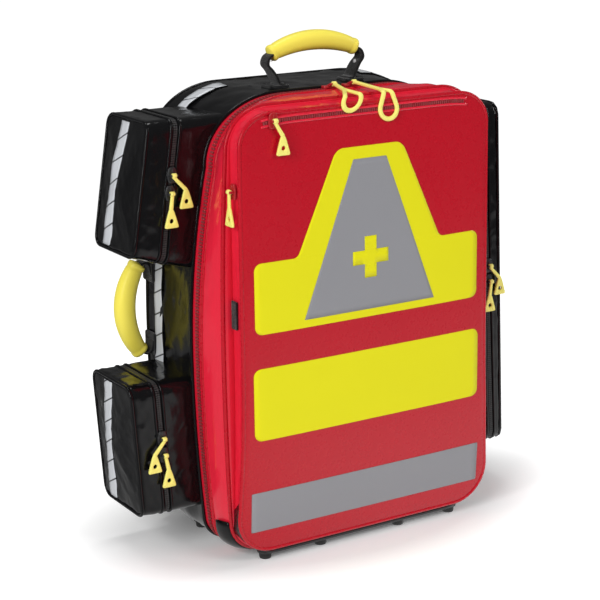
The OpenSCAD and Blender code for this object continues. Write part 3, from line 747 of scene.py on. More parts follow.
class Finishes(Enum):
    """Every finish of the pack."""

    BLACK_TARP = Finish(
        "coated_black", "black_tarp", Surface.TARP, (0.0036, 0.0036, 0.0042), 0.17, 0.3, 0.45, 24.0,
        0.002, 0.3, 0.3
    )
    BLACK_FLAT = Finish(
        "coated_black_flat", "black_tarp", Surface.TARP, (0.004, 0.004, 0.0045), 0.24, 0.2, 0.25,
        16.0, 0.002, 0.3, 0.3
    )
    # Painted light: lighter than the panel's red of the same fabric, for light from the left.
    RED_TARP = Finish(
        "coated_red", "red_tarp", Surface.TARP, (0.78, 0.018, 0.045), 0.2, 0.6, 0.3, 15.0, 0.002,
        0.12, 0.4
    )
    RED_PANEL = Finish(
        "coated_red_panel", "red_tarp", Surface.TARP, (0.5, 0.002, 0.014), 0.28, 0.04, 0.08, 6.0,
        0.0, 0.1, 0.5
    )
    RED_EDGE = Finish(
        "zip_edge_red", "red_zip", Surface.TARP, (0.64, 0.01, 0.03), 0.3, 0.3, 0.15, 20.0, 0.0, 0.1,
        0.3
    )
    RED_COIL = Finish(
        "zip_coil_red", "red_zip", Surface.MOULDED, (0.26, 0.003, 0.008), 0.55, 0.0, 0.1, 400.0,
        0.0, 0.1, 0.08
    )
    BLACK_ZIP = Finish(
        "zip_tape_black", "black_tarp", Surface.RIBBED, (0.006, 0.006, 0.0065), 0.6, 0.0, 0.6,
        1100.0, 0.004, 0.12, 0.3
    )
    BLACK_COIL = Finish(
        "zip_coil_black", "black_tarp", Surface.MOULDED, (0.008, 0.008, 0.0085), 0.35, 0.1, 0.1,
        400.0, 0.004
    )
    SLASHED = Finish(
        "reflective_slashed", "retro_silver", Surface.SLASHED, (0.62, 0.64, 0.67), 0.3, 0.3, 0.15,
        700.0, 0.0, 0.1
    )
    GREY_FILM = Finish(
        "reflective_grey", "retro_silver", Surface.FILM, (0.28, 0.28, 0.3), 0.4, 0.05, 0.05, 6.0,
        0.0, 0.06, 0.3
    )
    YELLOW_FILM = Finish(
        "fluorescent_yellow", "hi_vis_yellow", Surface.FILM, (0.78, 0.735, 0.008), 0.42, 0.04, 0.05,
        6.0, 0.0, 0.05, 0.18
    )
    WEBBING = Finish(
        "woven_webbing", "webbing", Surface.WOVEN, (0.007, 0.007, 0.0076), 0.62, 0.0, 0.7, 800.0,
        0.004, 0.12, 0.3
    )
    RUBBER = Finish(
        "foot_rubber", "foot_rubber", Surface.MOULDED, (0.012, 0.012, 0.012), 0.6, 0.0, 0.2, 600.0,
        0.03
    )
    GRIP = Finish(
        "grip_yellow", "grip_yellow", Surface.MOULDED, (0.98, 0.84, 0.1), 0.42, 0.05, 0.12, 700.0,
        0.0, 0.05
    )
    PULL = Finish(
        "pull_yellow", "pull_yellow", Surface.MOULDED, (0.95, 0.87, 0.2), 0.42, 0.05, 0.1, 700.0,
        0.0, 0.05
    )
    PLASTIC = Finish(
        "moulded_black", "hard_black", Surface.MOULDED, (0.014, 0.014, 0.015), 0.36, 0.05, 0.15,
        900.0, 0.01
    )
    BOARD = Finish(
        "frame_board", "board", Surface.MOULDED, (0.72, 0.72, 0.68), 0.5, 0.0, 0.1, 200.0, 0.0
    )
    LINING = Finish(
        "loop_lining", "lining_grey", Surface.PLUSH, (0.1, 0.1, 0.11), 0.85, 0.0, 0.5, 900.0, 0.0
    )
    PAD = Finish(
        "air_mesh", "pad_black", Surface.MESH, (0.014, 0.014, 0.016), 0.8, 0.0, 0.9, 420.0, 0.01
    )
    POUCH_RED = Finish(
        "pouch_red", "pouch_red", Surface.TARP, (0.45, 0.012, 0.015), 0.4, 0.15, 0.25, 22.0, 0.0
    )
    POUCH_YELLOW = Finish(
        "pouch_yellow", "pouch_yellow", Surface.TARP, (0.8, 0.5, 0.02), 0.4, 0.15, 0.25, 22.0, 0.0
    )
    POUCH_BLUE = Finish(
        "pouch_blue", "pouch_blue", Surface.TARP, (0.015, 0.07, 0.38), 0.4, 0.15, 0.25, 22.0, 0.0
    )
    POUCH_GREEN = Finish(
        "pouch_green", "pouch_green", Surface.TARP, (0.015, 0.22, 0.07), 0.4, 0.15, 0.25, 22.0, 0.0
    )
    CLEAR = Finish(
        "clear_film", "clear_film", Surface.CLEAR, (0.75, 0.8, 0.85), 0.12, 0.5, 0.3, 18.0, 0.0
    )
    STEEL = Finish(
        "rivet_steel", "black_tarp", Surface.MOULDED, (0.42, 0.42, 0.43), 0.3, 0.2, 0.05, 500.0, 0.0
    )
    SLIDER_RED = Finish(
        "slider_red", "slider_red", Surface.MOULDED, (0.42, 0.008, 0.014), 0.25, 0.4, 0.05, 500.0,
        0.0
    )
    SLIDER_BLACK = Finish(
        "slider_black", "black_tarp", Surface.MOULDED, (0.02, 0.02, 0.021), 0.28, 0.3, 0.05, 500.0,
        0.0
    )


class Workshop:
    """Turns shapes into dressed objects on their bodies, and holds the materials."""

    def __init__(self) -> None:
        """Builds the shared effects."""
        self.effects = Effects()
        self.made: dict[str, bpy.types.Material] = {}

    def dress(self, finish: Finishes) -> bpy.types.Material:
        """The material of a finish, made at its first use."""
        if finish.name not in self.made:
            self.made[finish.name] = finish.value.material(self.effects)
        return self.made[finish.name]

    def piece(
        self,
        name: str,
        shape: Shape,
        finish: Finishes,
        body: Optional[str],
        wall: float = 0.0,
        stands_for: Sequence[str] = (),
        sharp: bool = False,
    ) -> bpy.types.Object:
        """Makes one object.

        Args:
            name: the piece's name.
            shape: its surface in mm.
            finish: its finish.
            body: the body it rides on, or None if it is blended afterwards.
            wall: thickness grown inward by Solidify, in mm.
            stands_for: CAD nodes that it takes the place of.
            sharp: faces are shaded flat.

        Returns:
            The object, at the origin.
        """
        mesh = bpy.data.meshes.new(name)
        mesh.from_pydata((shape.verts * MM).tolist(), [], shape.faces.tolist())
        layer = mesh.uv_layers.new(name="UVMap")
        layer.data.foreach_set("uv", shape.uvs.reshape(-1).astype(np.float32))
        work = bmesh.new()
        work.from_mesh(mesh)
        bmesh.ops.remove_doubles(work, verts=work.verts, dist=2e-6)
        bmesh.ops.dissolve_degenerate(work, edges=work.edges, dist=1e-7)
        for face in work.faces:
            face.smooth = not sharp
        work.to_mesh(mesh)
        work.free()
        mesh.materials.append(self.dress(finish))
        obj = bpy.data.objects.new(name, mesh)
        bpy.context.scene.collection.objects.link(obj)
        if wall:
            solid = obj.modifiers.new("wall", "SOLIDIFY")
            solid.thickness, solid.offset = wall * MM, -1.0
        if body:
            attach(obj, body)
        if stands_for:
            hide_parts(*stands_for)
        log.info("%s: %d faces on %s", name, len(mesh.polygons), body)
        return obj

    def redress(self, frame: dict, finish: Finishes, *nodes: str) -> None:
        """Gives CAD nodes whose shape stays their finish."""
        for node in nodes:
            for slot in frame["nodes"][node].material_slots:
                slot.material = self.dress(finish)
            log.info("%s: kept from the frame", node)


# ---------------------------------------------------------------- padded pieces


@dataclass
class Padding:
    """Swells a soft piece with a cloth simulation and caps how far it may go."""

    voxel: float = 6.0
    pressure: float = 4.0
    cap: float = 7.0

    def swell(self, obj: bpy.types.Object) -> bpy.types.Object:
        """Remeshes the object, blows it up with Cloth for 20 frames and caps each point's move.

        Args:
            obj: a closed piece at rest.

        Returns:
            The same object with the swollen mesh and one subdivision.
        """
        scene = bpy.context.scene
        remesh = obj.modifiers.new("voxels", "REMESH")
        remesh.mode, remesh.voxel_size = "VOXEL", self.voxel * MM
        remesh.use_smooth_shade = True
        self.apply(obj)
        rest = self.places(obj)
        cloth = obj.modifiers.new("cloth", "CLOTH")
        cloth.settings.use_pressure = True
        cloth.settings.uniform_pressure_force = self.pressure
        cloth.settings.effector_weights.gravity = 0.0
        cloth.settings.quality = 5
        for frame_number in range(1, 21):
            scene.frame_set(frame_number)
        self.apply(obj)
        scene.frame_set(1)
        now = self.places(obj)
        step = now - rest
        far = np.linalg.norm(step, axis=1, keepdims=True)
        now = rest + step * np.minimum(1.0, self.cap * MM / np.maximum(far, 1e-9))
        obj.data.vertices.foreach_set("co", now.reshape(-1))
        obj.data.update()
        smooth = obj.modifiers.new("soft", "SMOOTH")
        smooth.factor, smooth.iterations = 0.5, 4
        self.apply(obj)
        fine = obj.modifiers.new("fine", "SUBSURF")
        fine.levels = fine.render_levels = 1
        return obj

    @staticmethod
    def places(obj: bpy.types.Object) -> Array:
        """Every corner's place in metres."""
        co = np.empty(len(obj.data.vertices) * 3)
        obj.data.vertices.foreach_get("co", co)
        return co.reshape(-1, 3)

    @staticmethod
    def apply(obj: bpy.types.Object) -> None:
        """Bakes the object's modifiers into its mesh."""
        materials = list(obj.data.materials)
        graph = bpy.context.evaluated_depsgraph_get()
        mesh = bpy.data.meshes.new_from_object(obj.evaluated_get(graph))
        obj.modifiers.clear()
        obj.data = mesh
        mesh.materials.clear()
        for material in materials:
            mesh.materials.append(material)


# ---------------------------------------------------------------- sub-assemblies


def coil_teeth(ring: Array, out: Array, tooth: Point, pitch: float, lift: float) -> Shape:
    """A zip's coil: small blocks at an even pitch along a closed ring.

    Args:
        ring: the ring's points in mm.
        out: the direction off the surface at each point.
        tooth: the three sides of a block in mm.
        pitch: distance from one block to the next in mm.
        lift: how far the teeth stand out in mm.

    Returns:
        All the teeth as one shape.
    """
    far = steps_along(ring, True)
    even = np.arange(0.0, far[-1] - pitch / 2, pitch)
    loop, outs = np.concatenate([ring, ring[:1]]), np.concatenate([out, out[:1]])
    centre = np.stack([np.interp(even, far, loop[:, k]) for k in range(3)], 1)
    away = unit(np.stack([np.interp(even, far, outs[:, k]) for k in range(3)], 1))
    along = unit(np.gradient(centre, axis=0))
    away = unit(away - along * (away * along).sum(axis=1, keepdims=True))
    return boxes(centre, along, away, tooth, lift)


def ring_tangent(ring: Array) -> Array:
    """Unit direction along a closed ring at each of its points."""
    return unit(np.roll(ring, -1, axis=0) - np.roll(ring, 1, axis=0))


@dataclass
class MainShell:
    """The black shell behind the main zip: skin, piping, reflective tapes, feet and guards."""

    shop: Workshop
    rear_round: float = 15.0
    tape_y: tuple[float, float] = (31.0, 50.0)
    tape_foot: float = 62.0
    tape_end: float = 90.0
    rear_feet: tuple[float, float, float] = (146.0, 55.0, 24.0)
    front_feet: tuple[float, float, float] = (130.0, 55.0, -100.0)
    rear_guard: tuple[float, float, float, float] = (154.0, -45.0, 76.0, 11.9)
    front_guard: tuple[float, float, float, float] = (138.0, -112.0, -56.0, 12.0)
    guard_low: float = 8.6
    guard_corner: float = 12.0

    def surface(self) -> Array:
        """Rings from the zip back, with a quarter circle round the rear edge and a filled back."""
        rings = lofted(ZIP.at(SHELL_Y), BACK.at(BACK_Y - self.rear_round), 16)
        a = quarter_turn(8)[1:]
        r = self.rear_round
        edge = np.stack([BACK.at(BACK_Y - r + r * math.sin(v), r * (1.0 - math.cos(v))) for v in a])
        back = filled(edge[-1], (0.0, BACK_Y, 268.0), 10)
        return np.concatenate([rings, edge, back])

    def skin(self) -> Array:
        """The surface with creases that die out towards the zip and on the flat back."""
        p = self.surface()
        near = eased((p[..., 1] - SHELL_Y) / 14.0) * eased((BACK_Y + 1.0 - p[..., 1]) / 6.0)
        relief = crumple(p, 5, 95.0, 1.7) * near
        return pushed(p, relief)

    def band(self, y0: float, y1: float, lift: float) -> Array:
        """A ribbon round the skin between two depths, with its base part left out."""
        rows = []
        for y in np.linspace(y0, y1, 5):
            t = (y - SHELL_Y) / (BACK_Y - self.rear_round - SHELL_Y)
            rows.append(ZIP.at(y) * (1.0 - t) + BACK.at(y) * t)
        p = np.stack(rows)
        near = eased((p[..., 1] - SHELL_Y) / 14.0)
        return pushed(p, crumple(p, 5, 95.0, 1.7) * near + lift)

    def tapes(self) -> Shape:
        """The reflective tape up each side and over the shoulder, as two ribbons."""
        p = self.band(*self.tape_y, 1.7)
        n = p.shape[1] // 2 + 1
        keep = [j for j in range(n) if p[0, j, 2] >= self.tape_foot and p[0, j, 0] >= self.tape_end]
        right = grid(p[:, keep].transpose(1, 0, 2)).facing((1.0, 0.0, 0.2))
        return Shape.join([right, right.mirrored()])

    def tape_edges(self) -> Shape:
        """A stitched hem on each long edge of the tapes, as thin flat cords."""
        parts = []
        for y in self.tape_y:
            p = self.band(y - 0.1, y + 0.1, 1.2)[2]
            n = len(p) // 2 + 1
            line = p[:n][(p[:n, 2] >= self.tape_foot) & (p[:n, 0] >= self.tape_end)]
            cord = sweep(line, 1.1, 0.6, ALONG_Y, sides=8)
            parts += [cord, cord.mirrored()]
        return Shape.join(parts)

    def foot(self, x: float, y: float) -> Shape:
        """A rubber foot: a round stud with a soft lower edge and a flange above."""
        profile = np.array(
            [
                [0, 0], [5.4, 0], [6.6, 0.5], [7.0, 1.4], [7.3, 5.0], [7.6, 7.4], [9.4, 7.9],
                [9.6, 9.4], [0, 9.6]
            ],
            float
        )
        return spun(profile, (x, y, 0.0), 2)

    def build(self) -> None:
        """Makes the shell's pieces."""
        make = self.shop.piece
        skin = grid(self.skin(), True).outward()
        make("shell_skin", skin, Finishes.BLACK_TARP, "shell", 3.5, ["shell_body"])
        front = sweep(ZIP.at(SHELL_Y + 0.5, -0.6), 2.1, 2.1, ALONG_Y, True, 10)
        rear = sweep(BACK.at(BACK_Y - 9.0, 1.6), 2.6, 2.6, ALONG_Y, True, 10)
        make("shell_piping", Shape.join([front, rear]), Finishes.BLACK_TARP, "shell")
        make("shell_tapes", self.tapes(), Finishes.SLASHED, "shell", 0.5, ["reflective_tapes"])
        make("shell_tape_hems", self.tape_edges(), Finishes.BLACK_TARP, "shell")
        bodies = {"rear": "shell", "front": "lid"}
        for tag, (outer, inner, y) in (("rear", self.rear_feet), ("front", self.front_feet)):
            feet = Shape.join([self.foot(s * x, y) for x in (outer, inner) for s in (-1, 1)])
            make(f"feet_{tag}", feet, Finishes.RUBBER, bodies[tag], 0.0, [f"{tag}_feet"])
        for tag, (x, y0, y1, top) in (("rear", self.rear_guard), ("front", self.front_guard)):
            guard = slab((-x, y0, self.guard_low), (x, y1, top), self.guard_corner)
            make(f"guard_{tag}", guard, Finishes.PLASTIC, bodies[tag], 0.0, [f"base_guard_{tag}"])


@dataclass
class MainZip:
    """The red zip between lid and shell: a tape and a row of coil on each side."""

    shop: Workshop
    dip: float = 1.6

    def tape(self, y0: float, y1: float) -> Shape:
        """A band along the zip's outline that dips a little between its two edges."""
        t = steps(7)
        rows = np.stack(
            [ZIP.at(y0 + (y1 - y0) * v, 0.4 + self.dip * math.sin(math.pi * v)) for v in t]
        )
        return grid(rows, True).outward()

    def build(self) -> None:
        """Makes both tapes and both rows of coil."""
        make = self.shop.piece
        make(
            "zip_tape_shell", self.tape(-52.6, -40.5), Finishes.RED_EDGE, "shell", 1.4,
            ["shell_zip_tape"]
        )
        make(
            "zip_tape_lid", self.tape(-65.5, -53.4), Finishes.RED_EDGE, "lid", 1.4, ["lid_zip_tape"]
        )
        for body, y in (("shell", -51.6), ("lid", -54.4)):
            ring = ZIP.at(y, 0.9)
            t = ring_tangent(ring)
            out = np.stack([t[:, 2], np.zeros(len(t)), -t[:, 0]], 1)
            teeth = coil_teeth(ring, out, (2.2, 3.4, 1.7), 3.9, 0.9)
            make(f"zip_coil_{body}", teeth, Finishes.RED_COIL, body, sharp=True)


@dataclass
class Lid:
    """The red clamshell lid: gusset, front pocket, panel, piping, patches, guards and label."""

    shop: Workshop
    dome: float = 2.6
    gusset_bulge: float = 1.8
    emblem_half: float = 151.0
    band_half: float = 154.0
    stripe_half: float = 158.0
    film_lift: float = 0.45

    def panel_y(self, x: Array, z: Array) -> Array:
        """Depth of the front panel: the dome falls off as fourth powers towards the edges."""
        across = 1.0 - np.clip(np.abs(x) / 170.0, 0, 1) ** 4
        up = 1.0 - np.clip(np.abs(z - 267.0) / 252.0, 0, 1) ** 4
        return FRONT_Y - self.dome * across * up + self.lean(z)

    @staticmethod
    def lean(z: Array) -> Array:
        """How far the front leans back: nothing above 150, growing to 7 at the lower edge."""
        return 7.0 * np.clip((150.0 - z) / 134.0, 0.0, 1.0) ** 1.3

    def leaned(self, ring: Array, share: float = 1.0) -> Array:
        """A ring of points moved back by the front's lean."""
        return ring + np.stack([0 * ring[:, 0], self.lean(ring[:, 2]) * share, 0 * ring[:, 0]], 1)

    def gusset(self) -> Array:
        """Rings from the seam to the zip tape, bulged as half a sine, creased at the corners."""
        p = lofted(SEAM.at(SEAM_Y), ZIP.at(LID_TAPE_Y), 16)
        t = steps(16)[:, None]
        relief = (crumple(p, 11, 80.0, 1.5) + crumple(p, 12, 30.0, 0.5)) * arch(t)
        return pushed(p, self.gusset_bulge * arch(t) + relief)

    def pocket_gusset(self) -> Array:
        """Rings from the panel's edge back to the seam, drawn in between as half a sine."""
        p = lofted(self.leaned(PANEL.at(FRONT_Y + 1.0)), POCKET.at(SEAM_Y), 14)
        t = steps(14)[:, None]
        gather = np.sin(
            steps_along(p[0], False) / 5.3 + 2.0 * np.sin(steps_along(p[0], False) / 37.0)
        )
        relief = crumple(p, 23, 34.0, 1.5) * arch(t) + 0.45 * gather * arch(t) ** 2
        return pushed(p, -1.4 * arch(t) + relief)

    def panel(self) -> Array:
        """The domed panel as rings that shrink to its middle, with a soft rolled edge."""
        ring = PANEL.at(FRONT_Y)
        p = filled(ring, (0.0, FRONT_Y, 267.0), 30, 0.985)
        p[..., 1] = self.panel_y(p[..., 0], p[..., 2])
        rim = np.stack(
            [self.leaned(PANEL.at(FRONT_Y + 2.2, 0.2)), self.leaned(PANEL.at(FRONT_Y + 0.7, 0.6))]
        )
        return np.concatenate([rim, p])

    def patch(self, z: Array, half: Array, lift: float, columns: int = 41) -> Shape:
        """A film patch on the panel: each row runs from minus to plus its own half width.

        Args:
            z: height of each row in mm.
            half: half width of each row in mm.
            lift: distance in front of the panel in mm.
            columns: points in each row.

        Returns:
            The patch, facing the front.
        """
        x = half[:, None] * np.linspace(-1.0, 1.0, columns)
        zz = np.broadcast_to(z[:, None], x.shape)
        return grid(np.stack([x, self.panel_y(x, zz) - lift, zz], -1)).facing(AHEAD)

    @staticmethod
    def rounded(low: float, high: float, c: float, wide: float, count: int) -> tuple[Array, Array]:
        """Rows of a rectangle with round corners, as heights and half widths.

        Near both ends a row is shorter by a quarter circle.

        Args:
            low: height of the lower edge in mm.
            high: height of the upper edge in mm.
            c: radius of the corners in mm.
            wide: half width in mm.
            count: rows between the corners, with their own two.

        Returns:
            Heights and half widths in mm.
        """
        q = c * (1.0 - np.cos(quarter_turn(8)))
        z = np.concatenate([low + q, np.linspace(low + c, high - c, count)[1:-1], high - q[::-1]])
        depth = np.clip(c - np.minimum(z - low, high - z), 0.0, c)
        return z, wide - c + np.sqrt(np.maximum(c**2 - depth**2, 0.0))

    def band_patch(self, low: float, high: float, corner: float, wide: float) -> Shape:
        """A rectangle with round corners across the panel."""
        return self.patch(*self.rounded(low, high, corner, wide, 14), self.film_lift)

    def emblem(self) -> Shape:
        """The wide foot and tapering top of the emblem, with a fillet where they meet."""
        low, knee, high, c, f = 275.0, 356.0, 472.0, 9.0, 5.0
        foot, wide = self.rounded(low, knee, c, self.emblem_half, 10)
        q, bend = (size * (1.0 - np.cos(quarter_turn(8))) for size in (c, f))
        middle = np.linspace(knee + f + 1.0, high - c, 16)
        top = np.concatenate([knee + bend, middle, high - q[::-1][1:]])
        fillet = f - np.sqrt(np.maximum(f**2 - np.clip(knee + f - top, 0.0, f) ** 2, 0.0))
        slope = 96.0 - 52.0 * (top - knee) / (high - knee) + fillet
        cut = np.clip(top - (high - c), 0.0, c)
        slope = slope - c + np.sqrt(np.maximum(c**2 - cut**2, 0.0))
        rows = np.concatenate([foot, top]), np.concatenate([wide, slope])
        return self.patch(*rows, self.film_lift)

    def inset(self) -> Shape:
        """The grey taper inside the emblem, which narrows from 88 to 22 on each side."""
        low, high = 284.0, 458.0
        z = np.linspace(low, high, 24)
        return self.patch(z, 88.0 - 66.0 * (z - low) / (high - low), self.film_lift + 0.3)

    def cross(self) -> Shape:
        """A plain yellow cross on the taper."""
        middle, thin, arm = 345.0, 8.0, 24.0
        z = middle + thin * np.array([-3.0, -2.0, -1.0, -1.0, 0.0, 1.0, 1.0, 2.0, 3.0])
        half = np.repeat([thin, arm, thin], 3)
        return self.patch(z, half, self.film_lift + 0.6, 13)

    def hem(self, ring: Array, radius: float) -> Shape:
        """A round piping along a closed ring."""
        return sweep(ring, radius, radius, ALONG_Y, True, 12)

    def slit(self) -> tuple[Shape, Shape]:
        """The front pocket's zip along the panel's top: two lips, and the coil between them."""
        x = np.linspace(-138.0, 134.0, 60)
        lips = []
        for dz in (-3.4, 3.4):
            z = np.full(60, SLIT_Z + dz) - 3.0 * (np.abs(x) / 138.0) ** 8
            path = np.stack([x, self.panel_y(x, z) - 0.2, z], 1)
            lips.append(sweep(path, 1.5, 1.1, ALONG_Z, sides=10))
        x = np.arange(-135.0, 131.0, 2.9)
        z = np.full(len(x), SLIT_Z) - 3.0 * (np.abs(x) / 138.0) ** 8
        centre = np.stack([x, self.panel_y(x, z) - 0.3, z], 1)
        along = unit(np.gradient(centre, axis=0))
        teeth = boxes(centre, along, np.tile([AHEAD], (len(x), 1)), (1.7, 3.6, 1.2), 0.2)
        return Shape.join(lips), teeth

    def corner_guard(self) -> Shape:
        """Black guard round a lower corner: a ribbon whose upper edge slants down to the back."""
        n = PANEL.ring().shape[0]
        front = lofted(self.leaned(PANEL.at(FRONT_Y + 3.0)), POCKET.at(SEAM_Y + 0.5), 9)
        side = lofted(SEAM.at(SEAM_Y + 1.0), ZIP.at(LID_TAPE_Y - 6.0), 9)
        parts = []
        for p, stop, rise, drop in ((front, 25, 1.1, 12.0), (side, 23, 2.6, -14.0)):
            bulge = self.gusset_bulge * arch(steps(9))[:, None] if p is side else 0.0
            cut = pushed(p, rise + bulge + np.zeros(p.shape[:2]))[:, 6 : min(stop, n // 2)].copy()
            top = np.clip((cut[..., 2] - 30.0) / 26.0, 0.0, 1.0)
            cut[..., 2] -= top * drop * steps(9)[:, None]
            parts.append(grid(cut).facing((1.0, 0.0, -0.3)))
        return Shape.join(parts + [q.mirrored() for q in parts])

    def build(self) -> None:
        """Makes the lid's pieces."""
        make = self.shop.piece
        # Gussets, seam ledge and slit lips use the red painted lighter for light from the left.
        gusset = grid(self.gusset(), True).outward()
        make("lid_gusset_skin", gusset, Finishes.RED_TARP, "lid", 2.4, ["lid_gusset"])
        pocket = grid(self.pocket_gusset()[::-1], True).outward()
        make("pocket_gusset_skin", pocket, Finishes.RED_TARP, "lid", 1.6)
        panel = grid(self.panel(), True).facing(AHEAD)
        make("front_panel_skin", panel, Finishes.RED_PANEL, "lid", 2.0, ["front_panel"])
        piping = [
            self.hem(self.leaned(PANEL.at(FRONT_Y + 1.6, 0.4)), 2.3),
            self.hem(SEAM.at(SEAM_Y + 0.4, 0.5), 2.5),
            self.hem(ZIP.at(LID_TAPE_Y + 0.2, 0.5), 2.2),
        ]
        make("lid_piping", Shape.join(piping), Finishes.RED_PANEL, "lid")
        inner, outer = POCKET.at(SEAM_Y - 0.6, 2.5), SEAM.at(SEAM_Y + 0.2, -0.6)
        fold = lofted(inner, outer, 7)
        fold[..., 1] -= 2.2 * arch(steps(7))[:, None]
        make("lid_seam_ledge", grid(fold, True).facing(AHEAD), Finishes.RED_TARP, "lid", 1.0)
        yellow = Shape.join(
            [self.band_patch(152.0, 236.0, 9.0, self.band_half), self.emblem(), self.cross()]
        )
        make("patches_yellow", yellow, Finishes.YELLOW_FILM, "lid", 0.25, ["panel_patches"])
        grey = Shape.join([self.inset(), self.band_patch(42.0, 90.0, 1.5, self.stripe_half)])
        make("patches_grey", grey, Finishes.GREY_FILM, "lid", 0.25)
        lips, teeth = self.slit()
        make("slit_lips", lips, Finishes.RED_TARP, "lid")
        make("slit_coil", teeth, Finishes.RED_COIL, "lid", sharp=True)
        make(
            "corner_guard_skin", self.corner_guard(), Finishes.BLACK_FLAT, "lid", 0.8,
            ["corner_guards"]
        )
        label = slab((-165.6, -109.0, 280.0), (-163.6, -97.0, 312.0), 1.0, 0, 0.4)
        make("side_label", label, Finishes.WEBBING, "lid", 0.0, ["blank_label"])


@dataclass(frozen=True)
class PocketSize:
    """One side pocket: which side, its zip plane, its outer face, its height and its tape."""

    name: str
    side: float
    zip_top: float
    zip_low: float
    out_top: float
    out_low: float
    bottom: float
    top: float
    pull_z: float
    tape_top: float
    tape_low: float
    drop: float = 0.0
    front: float = -41.0
    rear: float = 60.0

    def sink(self, x: Array, z: Array) -> Array:
        """Drop of the lower part: its share of the way in from the outer face, times the drop."""
        share = np.clip((self.out_low - x) / (self.out_low - 150.0), 0.0, 1.0)
        low = 1.0 - eased((z - self.bottom) / 60.0)
        return self.drop * share * low

    def zip_x(self, z: Array) -> Array:
        """Distance from the middle of the zip plane, straight between its two ends."""
        return self.zip_low + (
            self.zip_top - self.zip_low
        ) * (z - self.bottom) / (self.top - self.bottom)

    def out_x(self, z: Array) -> Array:
        """Distance from the middle of the outer face, straight between its two ends."""
        return self.out_low + (
            self.out_top - self.out_low
        ) * (z - self.bottom) / (self.top - self.bottom)


UPPER = PocketSize("upper", -1.0, 196, 219, 231, 255, 358, 508, 448, 12, 28, 30)
LOWER = PocketSize("lower", -1.0, 232, 223, 265, 255, 54, 212, 148, 16.5, 33.5, 3)
LONG = PocketSize("long", 1.0, 222, 242, 244, 258, 51, 487, 285, 14, 30)


def shell_side(y: Array, z: Array) -> Array:
    """Half width of the shell at a depth and height, read off its two end outlines."""
    zip_half, back_half = ZIP.half_ring(), BACK.half_ring()
    t = np.clip((y - SHELL_Y) / (BACK_Y - SHELL_Y), 0.0, 1.0)
    a = np.interp(z, zip_half[11:, 1], zip_half[11:, 0])
    b = np.interp(z, back_half[11:, 1], back_half[11:, 0])
    return a * (1.0 - t) + b * t


